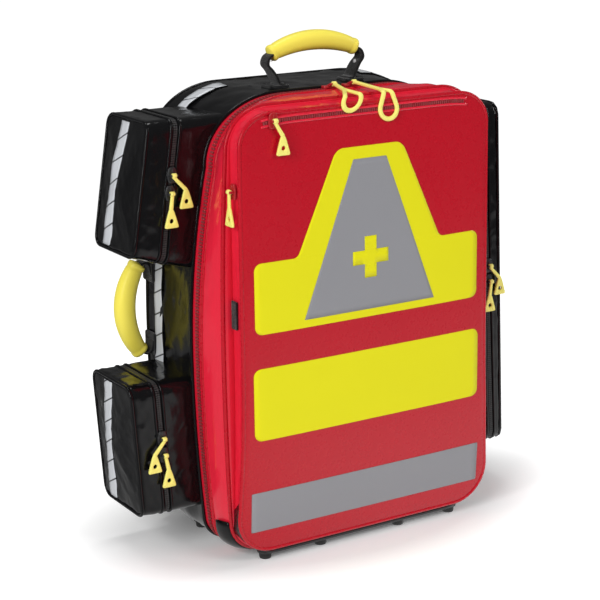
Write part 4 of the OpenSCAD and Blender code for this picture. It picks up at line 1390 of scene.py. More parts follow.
@dataclass
class SidePocket:
    """A creased black pocket: base on the shell, zip ring, and a cover that opens to the rear."""

    shop: Workshop
    size: PocketSize
    seed: int
    corner: float = 14.0
    edge: float = 6.0
    bulge: float = 4.0
    creases: float = 0.95
    count: int = 128

    def section(self, inset: float = 0.0) -> Array:
        """The closed section as y and z: a rounded rectangle about the pocket's middle."""
        p = self.size
        ring = rounded_rectangle(
            (p.rear - p.front) / 2 - inset, (p.top - p.bottom) / 2 - inset,
            max(self.corner - inset, 2.0), self.count
        )
        return ring + [(p.rear + p.front) / 2, (p.top + p.bottom) / 2]

    def ring_at(self, x: Array, section: Array) -> Array:
        """A section put at its own distance out from the middle, on the pocket's side."""
        z = section[:, 1] - self.size.sink(x, section[:, 1])
        return np.stack([self.size.side * x, section[:, 0], z], 1)

    def relief(self, p: Array) -> Array:
        """Creases of two sizes at each point, in mm."""
        large, small = crumple(p, self.seed, 62.0, self.creases), self.creases * 0.3
        return large + crumple(p, self.seed + 1, 24.0, small)

    def creased(self, p: Array, strength: Array) -> Array:
        """Points pushed along their normals by the creases."""
        turned = (grid_normals(p, True) * (p - p.reshape(-1, 3).mean(axis=0))).sum() < 0.0
        return pushed(p, self.relief(p) * strength, True, turned)

    def base(self) -> Shape:
        """Rings from the shell out to the zip, sagging a little in between."""
        p, sec = self.size, self.section()
        inner, outer = shell_side(sec[:, 0], sec[:, 1]) - 3.0, p.zip_x(sec[:, 1]) - 4.2
        t = steps(12)
        rows = np.stack([self.ring_at(inner + (outer - inner) * v, sec) for v in t])
        return grid(self.creased(rows, arch(t)[:, None] * 0.6), True).outward()

    def cover_rows(self) -> Array:
        """Rings from the zip to the outer edge, round it, and in to the middle of the face."""
        p, sec = self.size, self.section()
        start, stop = p.zip_x(sec[:, 1]) + 4.2, p.out_x(sec[:, 1]) - self.edge
        wall = np.stack([self.ring_at(start + (stop - start) * v, sec) for v in steps(10)])
        bends = quarter_turn(6)[1:]
        edge = []
        for v in bends:
            s = self.section(self.edge * (1.0 - math.cos(v)))
            edge.append(self.ring_at(p.out_x(s[:, 1]) - self.edge * (1.0 - math.sin(v)), s))
        face = []
        last = self.section(self.edge)
        middle = last.mean(axis=0)
        for s in np.concatenate([np.linspace(0.96, 0.05, 20), [0.0]]):
            flat = middle + (last - middle) * s
            face.append(self.ring_at(p.out_x(flat[:, 1]) + self.bulge * (1.0 - s * s) ** 2, flat))
        return np.concatenate([wall, np.stack(edge), np.stack(face)])

    def cover(self) -> Shape:
        """The creased cover. Creases die out beside the zip."""
        rows = self.cover_rows()
        strength = np.clip(np.arange(len(rows)) / 5.0, 0.0, 1.0)[:, None]
        return grid(self.creased(rows, strength), True).outward()

    def face_x(self, y: Array, z: Array) -> Array:
        """Distance out of the face at a depth and height, with the same bulge as the cover."""
        p = self.size
        hy, hz = (p.rear - p.front) / 2 - self.edge, (p.top - p.bottom) / 2 - self.edge
        s = np.maximum(
            np.abs(y - (p.rear + p.front) / 2) / hy, np.abs(z - (p.top + p.bottom) / 2) / hz
        )
        return p.out_x(z) + self.bulge * (1.0 - np.clip(s, 0, 1) ** 2) ** 2

    def strip(self) -> Shape:
        """The reflective tape down the outer face, 19 wide, leaning from one edge to the other."""
        p = self.size
        t = steps(40)[:, None]
        w = np.linspace(-9.5, 9.5, 5)[None]
        z = p.bottom + 5.0 + (p.top - p.bottom - 10.0) * t + 0.0 * w
        y = p.tape_low + (p.tape_top - p.tape_low) * t + w
        x = self.face_x(y, z)
        pts = np.stack([p.side * x, y, z], -1)
        pts[..., 0] += p.side * (self.relief(pts) + 0.7)
        return grid(pts).facing((p.side, 0.0, 0.0))

    def zip_parts(self, sign: float) -> tuple[Shape, Shape]:
        """One side's tape, set 1.2 in from the fabric, and its row of coil at the zip plane."""
        p = self.size
        sec = self.section(1.2)
        rows = np.stack(
            [self.ring_at(p.zip_x(sec[:, 1]) + sign * d, sec) for d in (0.5, 1.8, 3.2, 4.8)]
        )
        ring = self.ring_at(p.zip_x(sec[:, 1]) + sign * 1.3, sec)
        t = ring_tangent(ring)
        out = np.stack([np.zeros(len(t)), t[:, 2], -t[:, 1]], 1)
        centre = ring.mean(axis=0)
        if ((ring - centre) * out).sum() < 0:
            out = -out
        return grid(rows, True).outward(), coil_teeth(ring, out, (1.5, 2.2, 1.3), 2.6, 0.5)

    def build(self) -> None:
        """Makes the pocket's pieces."""
        make, p = self.shop.piece, self.size
        n = p.name
        make(f"{n}_base_skin", self.base(), Finishes.BLACK_TARP, "shell", 1.6, [f"{n}_pocket_base"])
        cover = f"{n}_cover"
        make(
            f"{n}_cover_skin", self.cover(), Finishes.BLACK_TARP, cover, 1.6, [f"{n}_pocket_cover"]
        )
        outer = self.section(1.2)
        edge = self.ring_at(p.out_x(outer[:, 1]) - 1.0, outer)
        near = self.section(-0.3)
        hem = self.ring_at(p.zip_x(near[:, 1]) + 5.4, near)
        trim = [sweep(edge, 1.9, 1.9, ALONG_X, True, 10), sweep(hem, 1.6, 1.2, ALONG_X, True, 10)]
        make(f"{n}_cover_piping", Shape.join(trim), Finishes.BLACK_TARP, cover)
        hem = self.ring_at(p.zip_x(near[:, 1]) - 5.4, near)
        make(f"{n}_base_hem", sweep(hem, 1.6, 1.2, ALONG_X, True, 10), Finishes.BLACK_TARP, "shell")
        if p.side < 0:
            make(f"{n}_strip", self.strip(), Finishes.SLASHED, cover, 0.4)
        for body, sign, tag in (("shell", -1.0, "base"), (cover, 1.0, "cover")):
            tape, teeth = self.zip_parts(sign)
            make(f"{n}_zip_tape_{tag}", tape, Finishes.BLACK_ZIP, body, 0.8)
            make(f"{n}_zip_coil_{tag}", teeth, Finishes.BLACK_COIL, body, sharp=True)


@dataclass(frozen=True)
class Handle:
    """A moulded grip on a bow: the bow's centre and radius, half its length, and how it lies."""

    centre: Point
    radius: float
    half: float
    upright: bool


@dataclass
class Handles:
    """The top and side carrying handles. A bow is the radius that a grip is bent to."""

    shop: Workshop
    grip_r: float = 12.5
    top_bow: float = 136.67
    side_bow: float = 84.11

    def taper(self, h: Handle, t: Array) -> Array:
        """Radius along the grip, a quarter slimmer at its ends. The top one is 1 mm slimmer."""
        return (self.grip_r if h.upright else self.grip_r - 1.0) * (1.0 - 0.24 * t**2)

    def arc(self, h: Handle, count: int = 40) -> Array:
        """Points on the grip's bow: a circle of its radius about its centre."""
        a = math.asin(h.half / h.radius)
        t = np.linspace(-a, a, count)
        along, out = h.radius * np.sin(t), h.radius * np.cos(t)
        if h.upright:
            return np.stack(
                [h.centre[0] - out, np.full(count, h.centre[1]), h.centre[2] + along], 1
            )
        return np.stack([h.centre[0] + along, np.full(count, h.centre[1]), h.centre[2] + out], 1)

    def grip(self, h: Handle) -> Shape:
        """The grip: fullest in the middle, slimmer towards its ends, with a collar at each end."""
        path = self.arc(h, 61)
        t = np.abs(np.linspace(-1.0, 1.0, 61))
        collar = 0.8 * eased((t - 0.92) / 0.03) - 0.4 * np.exp(-(((t - 0.9) / 0.02) ** 2))
        r = self.taper(h, t) + collar
        return sweep(path, r * 0.98, r, ALONG_Y, sides=32, power=2.25, ends=3.0)

    def seam(self, h: Handle) -> Shape:
        """The fine moulding line along the grip's inner side."""
        path = self.arc(h, 50)
        way = np.array([1.0, 0.0, 0.0]) if h.upright else np.array([0.0, 0.0, -1.0])
        t = np.linspace(-1.0, 1.0, 50)
        return sweep(path + way * self.taper(h, t)[:, None], 0.8, 0.35, ALONG_Y, sides=8)

    @staticmethod
    def curve(knots: Sequence[Point], count: int = 26) -> Array:
        """A smooth line through a few points: cubic pieces with slopes from their neighbours."""
        k = np.array(knots, float)
        far = steps_along(k, False)
        slope = np.gradient(k, far, axis=0)
        s = np.linspace(0.0, far[-1], count)
        i = np.clip(np.searchsorted(far, s, side="right") - 1, 0, len(k) - 2)
        d = (far[i + 1] - far[i])[:, None]
        t = ((s - far[i])[:, None]) / d
        return (
            (2 * t**3 - 3 * t**2 + 1) * k[i] + (t**3 - 2 * t**2 + t) * d * slope[i]
            + (-2 * t**3 + 3 * t**2) * k[i + 1] + (t**3 - t**2) * d * slope[i + 1]
        )

    def top_strap(self, side: float) -> Shape:
        """Webbing from the tab on the shell's top up into the end of the grip."""
        knots = (
            (44.0, 530.8), (50.0, 532.0), (53.0, 538.0), (58.5, 547.0),
            (64.3, 554.5), (62.0, 562.0), (54.5, 566.5),
        )
        path = self.curve([(side * x, TOP_HANDLE_Y, z) for x, z in knots])
        width = np.interp(steps(len(path)), [0, 0.35, 0.6, 1], [11, 11, 9.5, 8.4])
        return sweep(path, width, 1.7, ALONG_Y, sides=18, power=5.0)

    def side_strap(self, up: float) -> Shape:
        """Webbing from a tab on the shell's side out into the end of the upright grip."""
        knots = (
            (-188.6, 40.0), (-189.2, 46.0), (-191.5, 52.5),
            (-196.5, 54.5), (-202.0, 51.5), (-206.0, 45.5),
        )
        path = self.curve([(x, SIDE_HANDLE_Y, SIDE_HANDLE_Z + up * rise) for x, rise in knots])
        width = np.interp(steps(len(path)), [0, 0.4, 1], [11, 9.5, 8.4])
        return sweep(path, width, 1.5, ALONG_Y, sides=18, power=5.0)

    def stitch_box(
        self, centre: Point, half_a: float, half_b: float, axis: int, out: Point
    ) -> Shape:
        """A rectangle and a cross of short stitches, standing on a tab."""
        a = np.linspace(-1.0, 1.0, 9)
        ends = np.ones(9)
        plan = np.concatenate([
            np.stack([a, ends], 1), np.stack(
                [a, -ends], 1
            ), np.stack([ends, a], 1), np.stack([-ends, a], 1),
            np.stack([a, a], 1), np.stack([a, -a], 1),
        ]) * [half_a, half_b]
        way = np.repeat(
            np.array([[1, 0], [1, 0], [0, 1], [0, 1], [1, 1], [1, -1]], float) * [half_a, half_b],
            9, axis=0
        )
        spots, along = np.zeros((len(plan), 3)), np.zeros((len(plan), 3))
        u, v = (axis + 1) % 3, (axis + 2) % 3
        spots[:, u], spots[:, v] = plan[:, 0], plan[:, 1]
        along[:, u], along[:, v] = way[:, 0], way[:, 1]
        outs = np.tile(np.array(out, float), (len(plan), 1))
        return boxes(spots + np.array(centre), unit(along), outs, (2.1, 0.7, 0.5))

    def build(self) -> None:
        """Makes both handles."""
        make = self.shop.piece
        top = Handle((0.0, TOP_HANDLE_Y, 578.0 - self.top_bow), self.top_bow, 56.0, False)
        side = Handle(
            (self.side_bow - 220.0, SIDE_HANDLE_Y, SIDE_HANDLE_Z), self.side_bow, 52.0, True
        )
        make(
            "top_grip_moulding", Shape.join([self.grip(top), self.seam(top)]), Finishes.GRIP,
            "top_handle", 0.0, ["top_grip"]
        )
        make(
            "side_grip_moulding", Shape.join([self.grip(side), self.seam(side)]), Finishes.GRIP,
            "side_handle", 0.0, ["side_grip"]
        )
        for tag, s in (("left", -1.0), ("right", 1.0)):
            strap = make(f"top_strap_{tag}", self.top_strap(s), Finishes.WEBBING, None)
            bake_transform(strap)
            if s < 0:
                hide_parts("top_handle_webbing")
        tabs = [slab((s * 51 - 13, -19.5, 527.2), (s * 51 + 13, 4.5, 530.6), 2.5) for s in (-1, 1)]
        make("top_tabs", Shape.join(tabs), Finishes.WEBBING, "shell", 0.0, ["top_handle_tabs"])
        dome = np.array(
            [[0, 2.6], [2.2, 2.2], [3.9, 1.1], [4.6, 0.0], [4.6, -0.6], [0, -0.6]], float
        )
        rivets = [
            spun(dome * [0.62, -s * 0.7], (s * 57.6, TOP_HANDLE_Y, 548.5), 0, 20) for s in (-1, 1)
        ]
        make("top_rivets", Shape.join(rivets), Finishes.STEEL, "top_handle")
        sewn = [
            self.stitch_box((s * 60.5, TOP_HANDLE_Y, 530.7), 2.6, 9.5, 2, (0, 0, 1))
            for s in (-1, 1)
        ]
        make("top_tab_stitches", Shape.join(sewn), Finishes.BLACK_COIL, "shell", sharp=True)
        for tag, s in (("low", -1.0), ("high", 1.0)):
            strap = make(f"side_strap_{tag}", self.side_strap(s), Finishes.WEBBING, None)
            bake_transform(strap)
            if s < 0:
                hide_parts("side_handle_webbing")
        middles = [SIDE_HANDLE_Z + s * 44.0 for s in (-1, 1)]
        tabs = [slab((-189.0, 47.5, z - 13), (-185.2, 72.5, z + 13), 2.5, 0) for z in middles]
        make("side_tabs", Shape.join(tabs), Finishes.WEBBING, "shell", 0.0, ["side_handle_tabs"])


@dataclass
class Pulls:
    """Zip sliders, hanging tags and the two draped loops."""

    shop: Workshop
    pin_r: float = 1.0
    pin_out: float = 6.5
    cheek_x: float = 3.85
    tag_len: float = 38.0
    neck: float = 16.0
    tag_t: float = 3.0
    paddle_half: float = 9.0

    def paddle(self, lean: float) -> Shape:
        """The flared end of a tag with its round hole.

        A ring of points goes round the outline and another round the hole, matched by angle
        about the hole. A rounded section joins them in front and behind.
        """
        count = 56
        t = full_turn(count)
        top, end, mid = -self.neck + 1.0, -self.tag_len, -self.tag_len + 8.0
        dx, dz = np.cos(t), np.sin(t)
        z_far = np.where(
            dz > 0, (top - mid) / np.maximum(dz, 1e-6), (end - mid) / np.minimum(dz, -1e-6)
        )
        slope = (self.paddle_half - 2.4) / (self.tag_len - self.neck)
        x_far = (self.paddle_half - slope * 8.0) / np.maximum(np.abs(dx) + slope * dz, 1e-3)
        power = 7.0
        reach = (np.abs(1.0 / z_far) ** power + np.abs(1.0 / x_far) ** power) ** (-1.0 / power)
        outer = np.stack([lean + reach * dx, mid + reach * dz], 1)
        inner = np.stack([lean + 2.5 * dx, mid + 2.5 * dz], 1)
        a = full_turn(16)
        share = 0.5 - 0.5 * signed_power(np.cos(a), 0.35)
        lift = self.tag_t / 2 * signed_power(np.sin(a), 0.5)
        flat = inner[None] * (1 - share)[:, None, None] + outer[None] * share[:, None, None]
        points = np.stack(
            [flat[..., 0], np.broadcast_to(lift[:, None], flat.shape[:2]), flat[..., 1]], -1
        )
        points = np.concatenate([points, points[:1]])
        return grid(points, True)

    def tag(self, lean: float) -> Shape:
        """A hanging tag about its pin at the origin: eye, leaning neck and paddle."""
        eye = spun(EYE, (0.0, 0.0, 0.0), 0, 24)
        s = steps(14)
        path = np.stack([lean * s, 0.0 * s, -2.2 - (self.neck - 1.2) * s], 1)
        neck = sweep(path, 1.9 + 0.5 * s, self.tag_t / 2, ALONG_X, sides=14, power=3.5, ends=0.6)
        plate = self.paddle(lean)
        n = plate.face_normals()
        c = plate.verts[plate.faces].mean(axis=1)
        if (n[:, 1] * c[:, 1]).sum() < 0:
            plate = plate.turned()
        return Shape.join([eye, neck, plate])

    def placed(self, shape: Shape, spot: Point, faces_left: bool = False) -> Shape:
        """A shape moved to its pin, and turned to face -X where its zip does."""
        v = shape.verts
        if faces_left:
            v = np.stack([v[:, 1], -v[:, 0], v[:, 2]], 1)
        return Shape(v + np.array(spot), shape.faces, shape.uvs)

    def slider(self) -> Shape:
        """A slider on a wall facing -Y: shield-shaped body, ridge, two cheeks and the pin.

        The body is a superellipse carried up its length, widest above its middle.
        """
        s = steps(18)
        wide = 3.6 + 2.4 * np.sin(math.pi * np.clip(s * 0.9 + 0.1, 0, 1)) ** 0.8
        path = np.linspace((0.0, -1.5, -8.0), (0.0, -1.5, 8.0), 18)
        parts = [sweep(path, wide, 1.5, ALONG_X, sides=18, power=3.6, ends=0.8)]
        high = np.linspace(1.9, 1.4, 10)
        for x in (-self.cheek_x, self.cheek_x):
            path = np.linspace((x, -2.4, 0.0), (x, -7.8, 0.0), 10)
            parts.append(sweep(path, 0.75, high, ALONG_X, sides=12, power=3.0, ends=0.5))
        parts.append(self.pin(-self.pin_out, 0.0))
        path = np.linspace((0.0, -3.1, -6.0), (0.0, -3.1, 6.0), 8)
        parts.append(sweep(path, 0.9, 0.5, ALONG_X, sides=10, ends=0.8))
        return Shape.join(parts)

    def pin(self, y: float, z: float) -> Shape:
        """The pin that a pull turns on, through both cheeks."""
        path = np.linspace((-4.4, y, z), (4.4, y, z), 6)
        return sweep(path, self.pin_r, self.pin_r, ALONG_Y, sides=14, ends=0.4)

    def top_slider(self, x: float) -> Shape:
        """A main slider on the pack's top, lying along the zip, with cheeks forward to the pin."""
        s = steps(18)
        wide = 3.6 + 1.9 * np.sin(math.pi * np.clip(s * 0.9 + 0.05, 0, 1)) ** 0.8
        path = np.linspace((-9.0, -53.0, 529.3), (9.0, -53.0, 529.3), 18)
        parts = [sweep(path, wide, 1.9, ALONG_Y, sides=18, power=3.4, ends=0.9)]
        high = np.linspace(1.8, 1.5, 10)
        for side in (-self.cheek_x, self.cheek_x):
            path = np.linspace((side, -55.0, 530.6), (side, PIN_Y, PIN_Z), 10)
            parts.append(sweep(path, 0.75, high, ALONG_X, sides=12, power=3.0, ends=0.8))
        parts.append(self.pin(PIN_Y, PIN_Z))
        return self.placed(Shape.join(parts), (x, 0.0, 0.0))

    @staticmethod
    def draped(flat: Array) -> Array:
        """Across, along and up of a flat loop carried over the lid's front edge.

        Up to the bend the way runs forward and drops 4 in 64; after it, straight down. The
        bend is eased over 5, by turning the heading evenly and adding the steps up.
        """
        run, drop, soft = 64.2, 4.0, 6.0
        slope = math.atan2(drop, run)
        s = np.linspace(-4.0, 110.0, 1141)
        bend = run / math.cos(slope) - 1.2
        turn = slope + (math.pi / 2 - slope) * eased((s - bend + soft / 2) / soft)
        step = s[1] - s[0]
        fwd, down = np.cumsum(np.cos(turn)) * step, np.cumsum(np.sin(turn)) * step
        zero = np.interp(0.0, s, fwd), np.interp(0.0, s, down)
        f, d = np.interp(flat[..., 1], s, fwd - zero[0]), np.interp(flat[..., 1], s, down - zero[1])
        a = np.interp(flat[..., 1], s, turn)
        y = PIN_Y - f - np.sin(a) * flat[..., 2]
        z = PIN_Z - d + np.cos(a) * flat[..., 2]
        return np.stack([flat[..., 0], y, z], -1)

    def loop(self, x: float, start: float, lean: float) -> Shape:
        """A draped pull: eye, neck, and a teardrop loop that leans across as it goes.

        The teardrop is a point that opens as two straight lines which touch a circle; its
        section is carried round in the flat, and then everything is bent over the edge.
        """
        r, length = 11.25, 50.0
        centre = start + length - 14.0
        tip = start + 2.5
        d = centre - tip
        a = math.acos(r / d)
        t = np.linspace(-(math.pi - a), math.pi - a, 60)
        arc = np.stack([r * np.sin(t), centre + r * np.cos(t)], 1)
        left = np.stack(
            [np.linspace(0, arc[0, 0], 24)[1:-1], np.linspace(tip, arc[0, 1], 24)[1:-1]], 1
        )
        right = np.stack(
            [np.linspace(arc[-1, 0], 0, 24)[1:], np.linspace(arc[-1, 1], tip, 24)[1:]], 1
        )
        line = np.concatenate([left, arc, right])
        tangent = ring_tangent(line)
        normal = np.stack([tangent[:, 1], -tangent[:, 0]], 1)
        q = full_turn(16)
        wide, high = 2.75 * np.cos(q), 2.0 * np.sin(q)
        flat = line[:, None] + normal[:, None] * wide[None, :, None]
        tube = np.concatenate([flat, np.broadcast_to(high[None, :, None], (len(line), 16, 1))], -1)
        tube = np.concatenate([tube, tube[:1]])
        tube[..., 0] += lean * tube[..., 1]
        parts = [grid(self.draped(tube), True).outward()]
        s = np.linspace(2.0, start + 5.0, 30)
        w = 2.5 + 1.2 * eased((s - start) / 6.0)
        c, h = np.cos(q), np.sin(q)
        neck = np.stack([
            signed_power(c, 0.6) * w[:, None], np.broadcast_to(s[:, None], (30, 16)),
            1.8 * signed_power(h, 0.6) + 0 * w[:, None],
        ], -1)
        caps = [
            np.broadcast_to(np.array([0.0, e, 0.0]), (1, 16, 3)) for e in (s[0] - 0.5, s[-1] + 1.0)
        ]
        neck = np.concatenate([caps[0], neck, caps[1]])
        neck[..., 0] += lean * neck[..., 1]
        parts.append(grid(self.draped(neck), True).outward())
        parts.append(spun(EYE, (0.0, PIN_Y, PIN_Z), 0, 24))
        return self.placed(Shape.join(parts), (x, 0.0, 0.0))

    def build(self) -> None:
        """Makes every slider, tag and loop."""
        make = self.shop.piece
        for p, leans in ((UPPER, (14.0, -2.0)), (LOWER, (-13.0, 3.0)), (LONG, (14.0, -2.0))):
            sliders = []
            for k, (tag, lean) in enumerate(zip(("front", "rear"), leans)):
                z = p.pull_z - 20.0 * k
                x = p.side * float(p.zip_x(np.array(z)))
                sliders.append(self.placed(self.slider(), (x, SHELL_Y - 0.6, z)))
                shape = self.placed(self.tag(lean), (x, SHELL_Y - 0.6 - self.pin_out, z))
                self.pull(
                    f"{p.name}_tag_{tag}", shape, f"{p.name}_{tag}_tag", f"{p.name}_pull_{tag}"
                )
            make(f"{p.name}_sliders", Shape.join(sliders), Finishes.SLIDER_BLACK, f"{p.name}_cover")
        for tag, x, start, lean in (("left", -6.0, 32.0, -0.25), ("right", 21.0, 46.0, 0.05)):
            self.red(f"top_slider_{tag}", self.top_slider(x), f"{tag}_slider", f"main_slider_{tag}")
            self.pull(
                f"top_loop_{tag}", self.loop(x, start, lean), f"{tag}_loop", f"main_pull_{tag}"
            )
        x, y, z = -124.0, FRONT_Y - 0.6, SLIT_Z
        self.red(
            "slit_slider", self.placed(self.slider(), (x, y, z)), "front_zip_slider", "front_slider"
        )
        tag = self.placed(self.tag(9.0), (x, y - self.pin_out, z))
        self.pull("slit_tag", tag, "front_tag", "front_pull")
        x, y, z = -164.9, -109.5, 436.0
        slider = self.placed(self.slider(), (x, y, z), True)
        self.red("gusset_slider_body", slider, "gusset_zip_slider", "gusset_slider")
        tag = self.placed(self.tag(0.0), (x - self.pin_out, y, z), True)
        self.pull("gusset_tag_paddle", tag, "gusset_tag", "gusset_pull")

    def red(self, name: str, shape: Shape, body: str, node: str) -> None:
        """Makes a red slider on its body, in place of its CAD node."""
        self.shop.piece(name, shape, Finishes.SLIDER_RED, body, 0.0, [node])

    def pull(self, name: str, shape: Shape, body: str, node: str) -> None:
        """Makes a yellow tag or loop on its body, in place of its CAD node."""
        self.shop.piece(name, shape, Finishes.PULL, body, 0.0, [node])


@dataclass
class Harness:
    """Back pads, shoulder straps, webbing and buckles on the rear."""

    shop: Workshop
    padding: Padding = field(default_factory=Padding)

    def pad(
        self, name: str, low: Point, high: Point, corner: float
    ) -> bpy.types.Object:
        """A mesh-covered pad swollen from a slightly smaller slab."""
        obj = self.shop.piece(name, slab(low, high, corner, 1, 6.0), Finishes.PAD, None)
        self.padding.swell(obj)
        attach(obj, "shell")
        return obj

    def strap_line(self) -> Array:
        """Middle line of the right shoulder strap, from the yoke down to its adjuster."""
        knots = [
            (61, 110, 504), (66, 110, 470), (80, 110, 415), (103, 110, 320), (117, 110, 240),
            (122, 110, 190)
        ]
        return Handles.curve(knots, 60)

    def strap(self) -> Shape:
        """The padded shoulder strap: a rounded section 50 wide, 14 thick and slim at its ends."""
        line = self.strap_line()
        t = steps(len(line))
        width = 23.0 + 2.0 * arch(t)
        quilt = 0.35 * np.cos(2.0 * math.pi * t * 9.0)
        thick = 6.2 + quilt - 1.2 * (1 - eased(t / 0.06)) - 1.0 * (1 - eased((1 - t) / 0.06))
        return sweep(line, width, thick, ALONG_X, sides=36, power=3.2, ends=3.0)

    def binding(self) -> Shape:
        """A bound edge down each side of a shoulder strap."""
        line = self.strap_line()
        t = steps(len(line))
        across = unit(np.cross(np.gradient(line, axis=0), [0.0, 1.0, 0.0]))
        width = (23.2 + 2.0 * arch(t))[:, None]
        return Shape.join(
            [sweep(line + s * across * width, 1.5, 2.6, ALONG_X, sides=10) for s in (-1, 1)]
        )

    def band(self, a: Point, b: Point, width: float, across: Point, sag: float = 0.0) -> Shape:
        """A flat strap between two points, sagging as half a sine."""
        t = steps(24)[:, None]
        path = np.array(a) * (1 - t) + np.array(b) * t - np.array(ALONG_Z) * sag * arch(t)
        return sweep(path, width / 2, 1.0, across, sides=14, power=5.0, ends=0.6)

    def build(self, frame: dict) -> None:
        """Makes the harness."""
        make = self.shop.piece
        left = self.pad("back_pad_left", (-114, 84.0, 160), (-34, 97.0, 458), 26.0)
        self.pad("back_pad_right", (34, 84.0, 160), (114, 97.0, 458), 26.0)
        self.pad("lumbar_pad", (-124, 84.5, 56), (124, 103.0, 138), 26.0)
        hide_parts("back_pads")
        right = self.strap()
        bind = self.binding()
        for tag, shape, edge in (
            ("left", right.mirrored(), bind.mirrored()), ("right", right, bind)
        ):
            strap = make(
                f"shoulder_pad_{tag}", shape, Finishes.PAD, "shell", 0.0, [f"shoulder_strap_{tag}"]
            )
            make(f"shoulder_binding_{tag}", edge, Finishes.WEBBING, "shell")
        webs = [self.band((122, 110, 176), (149, 110, 66), 24.0, (1.0, 0.0, 0.25))]
        webs.append(slab((137, 82.2, 47), (163, 110.5, 62), 2.0, 2))
        webs += [s.mirrored() for s in webs]
        webs += [slab((s * 62 - 21, 82.2, 472), (s * 62 + 21, 104.5, 499), 3.0, 2) for s in (-1, 1)]
        make("strap_webs", Shape.join(webs), Finishes.WEBBING, "shell", 0.0, ["strap_webbing"])
        chest = [self.band((-92, 122.5, 400), (-20, 122.5, 400), 20.0, ALONG_Z)]
        chest += [
            slab((s * 85 - 6, 116.5, 390.5), (s * 85 + 6, 121.4, 409.5), 1.5, 1) for s in (-1, 1)
        ]
        make("chest_web", Shape.join(chest), Finishes.WEBBING, "shell", 0.0, ["chest_webbing"])
        plug = self.band((14, 122.5, 400), (92, 122.5, 400), 20.0, ALONG_Z)
        make("chest_web_plug", plug, Finishes.WEBBING, "chest_plug")
        hip = [self.band((-150, 115.1, 96), (-28, 115.1, 96), 38.0, ALONG_Z)]
        hip += [slab((s * 112 - 6, 107.5, 78), (s * 112 + 6, 113.9, 114), 1.5, 1) for s in (-1, 1)]
        make("hip_web", Shape.join(hip), Finishes.WEBBING, "shell", 0.0, ["hip_belt"])
        plug = self.band((20, 115.1, 96), (150, 115.1, 96), 38.0, ALONG_Z)
        make("hip_web_plug", plug, Finishes.WEBBING, "hip_plug")
        self.shop.redress(
            frame, Finishes.PLASTIC, "strap_adjusters", "chest_buckle_socket", "chest_buckle_plug",
            "hip_buckle_socket", "hip_buckle_plug",
        )


@dataclass
class Inside:
    """What shows when the lid is open: lining, shelves, module pouches and lid pockets."""

    shop: Workshop
    padding: Padding = field(default_factory=lambda: Padding(6.0, 4.0, 6.0))

    def pouch(self, node: str, low: Point, high: Point, finish: Finishes) -> None:
        """A filled module pouch, with a zip cord round its front."""
        obj = self.shop.piece(node + "_body", slab(low, high, 14.0, 1, 8.0), finish, None)
        self.padding.swell(obj)
        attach(obj, "shell")
        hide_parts(node)
        lo, hi = np.array(low), np.array(high)
        mid, half = (lo + hi) / 2, (hi - lo) / 2
        ring = rounded_rectangle(half[0] - 5.0, half[2] - 5.0, 14.0, 96)
        path = np.stack([mid[0] + ring[:, 0], np.full(96, low[1] - 0.5), mid[2] + ring[:, 1]], 1)
        trim = sweep(path, 2.2, 1.3, ALONG_Y, True, 10)
        self.shop.piece(node + "_trim", trim, Finishes.WEBBING, "shell")

    def build(self, frame: dict) -> None:
        """Makes the inside."""
        y0, y1 = -13.0, 68.0
        self.pouch("pouch_red", (-142, y0, 21), (-7, y1, 178), Finishes.POUCH_RED)
        self.pouch("pouch_yellow", (7, y0, 21), (142, y1, 178), Finishes.POUCH_YELLOW)
        self.pouch("pouch_blue", (-164, y0, 197), (-7, y1, 344), Finishes.POUCH_BLUE)
        self.pouch("pouch_green", (7, y0, 197), (164, y1, 344), Finishes.POUCH_GREEN)
        self.pouch("pouch_clear", (-116, y0, 363), (116, y1, 474), Finishes.CLEAR)
        self.shop.redress(frame, Finishes.BOARD, "frame_sheet")
        self.shop.redress(frame, Finishes.LINING, "loop_lining", "shelves")
        self.shop.redress(frame, Finishes.RED_PANEL, "lid_face")
        self.shop.redress(frame, Finishes.CLEAR, "lid_pockets")


# ---------------------------------------------------------------- studio


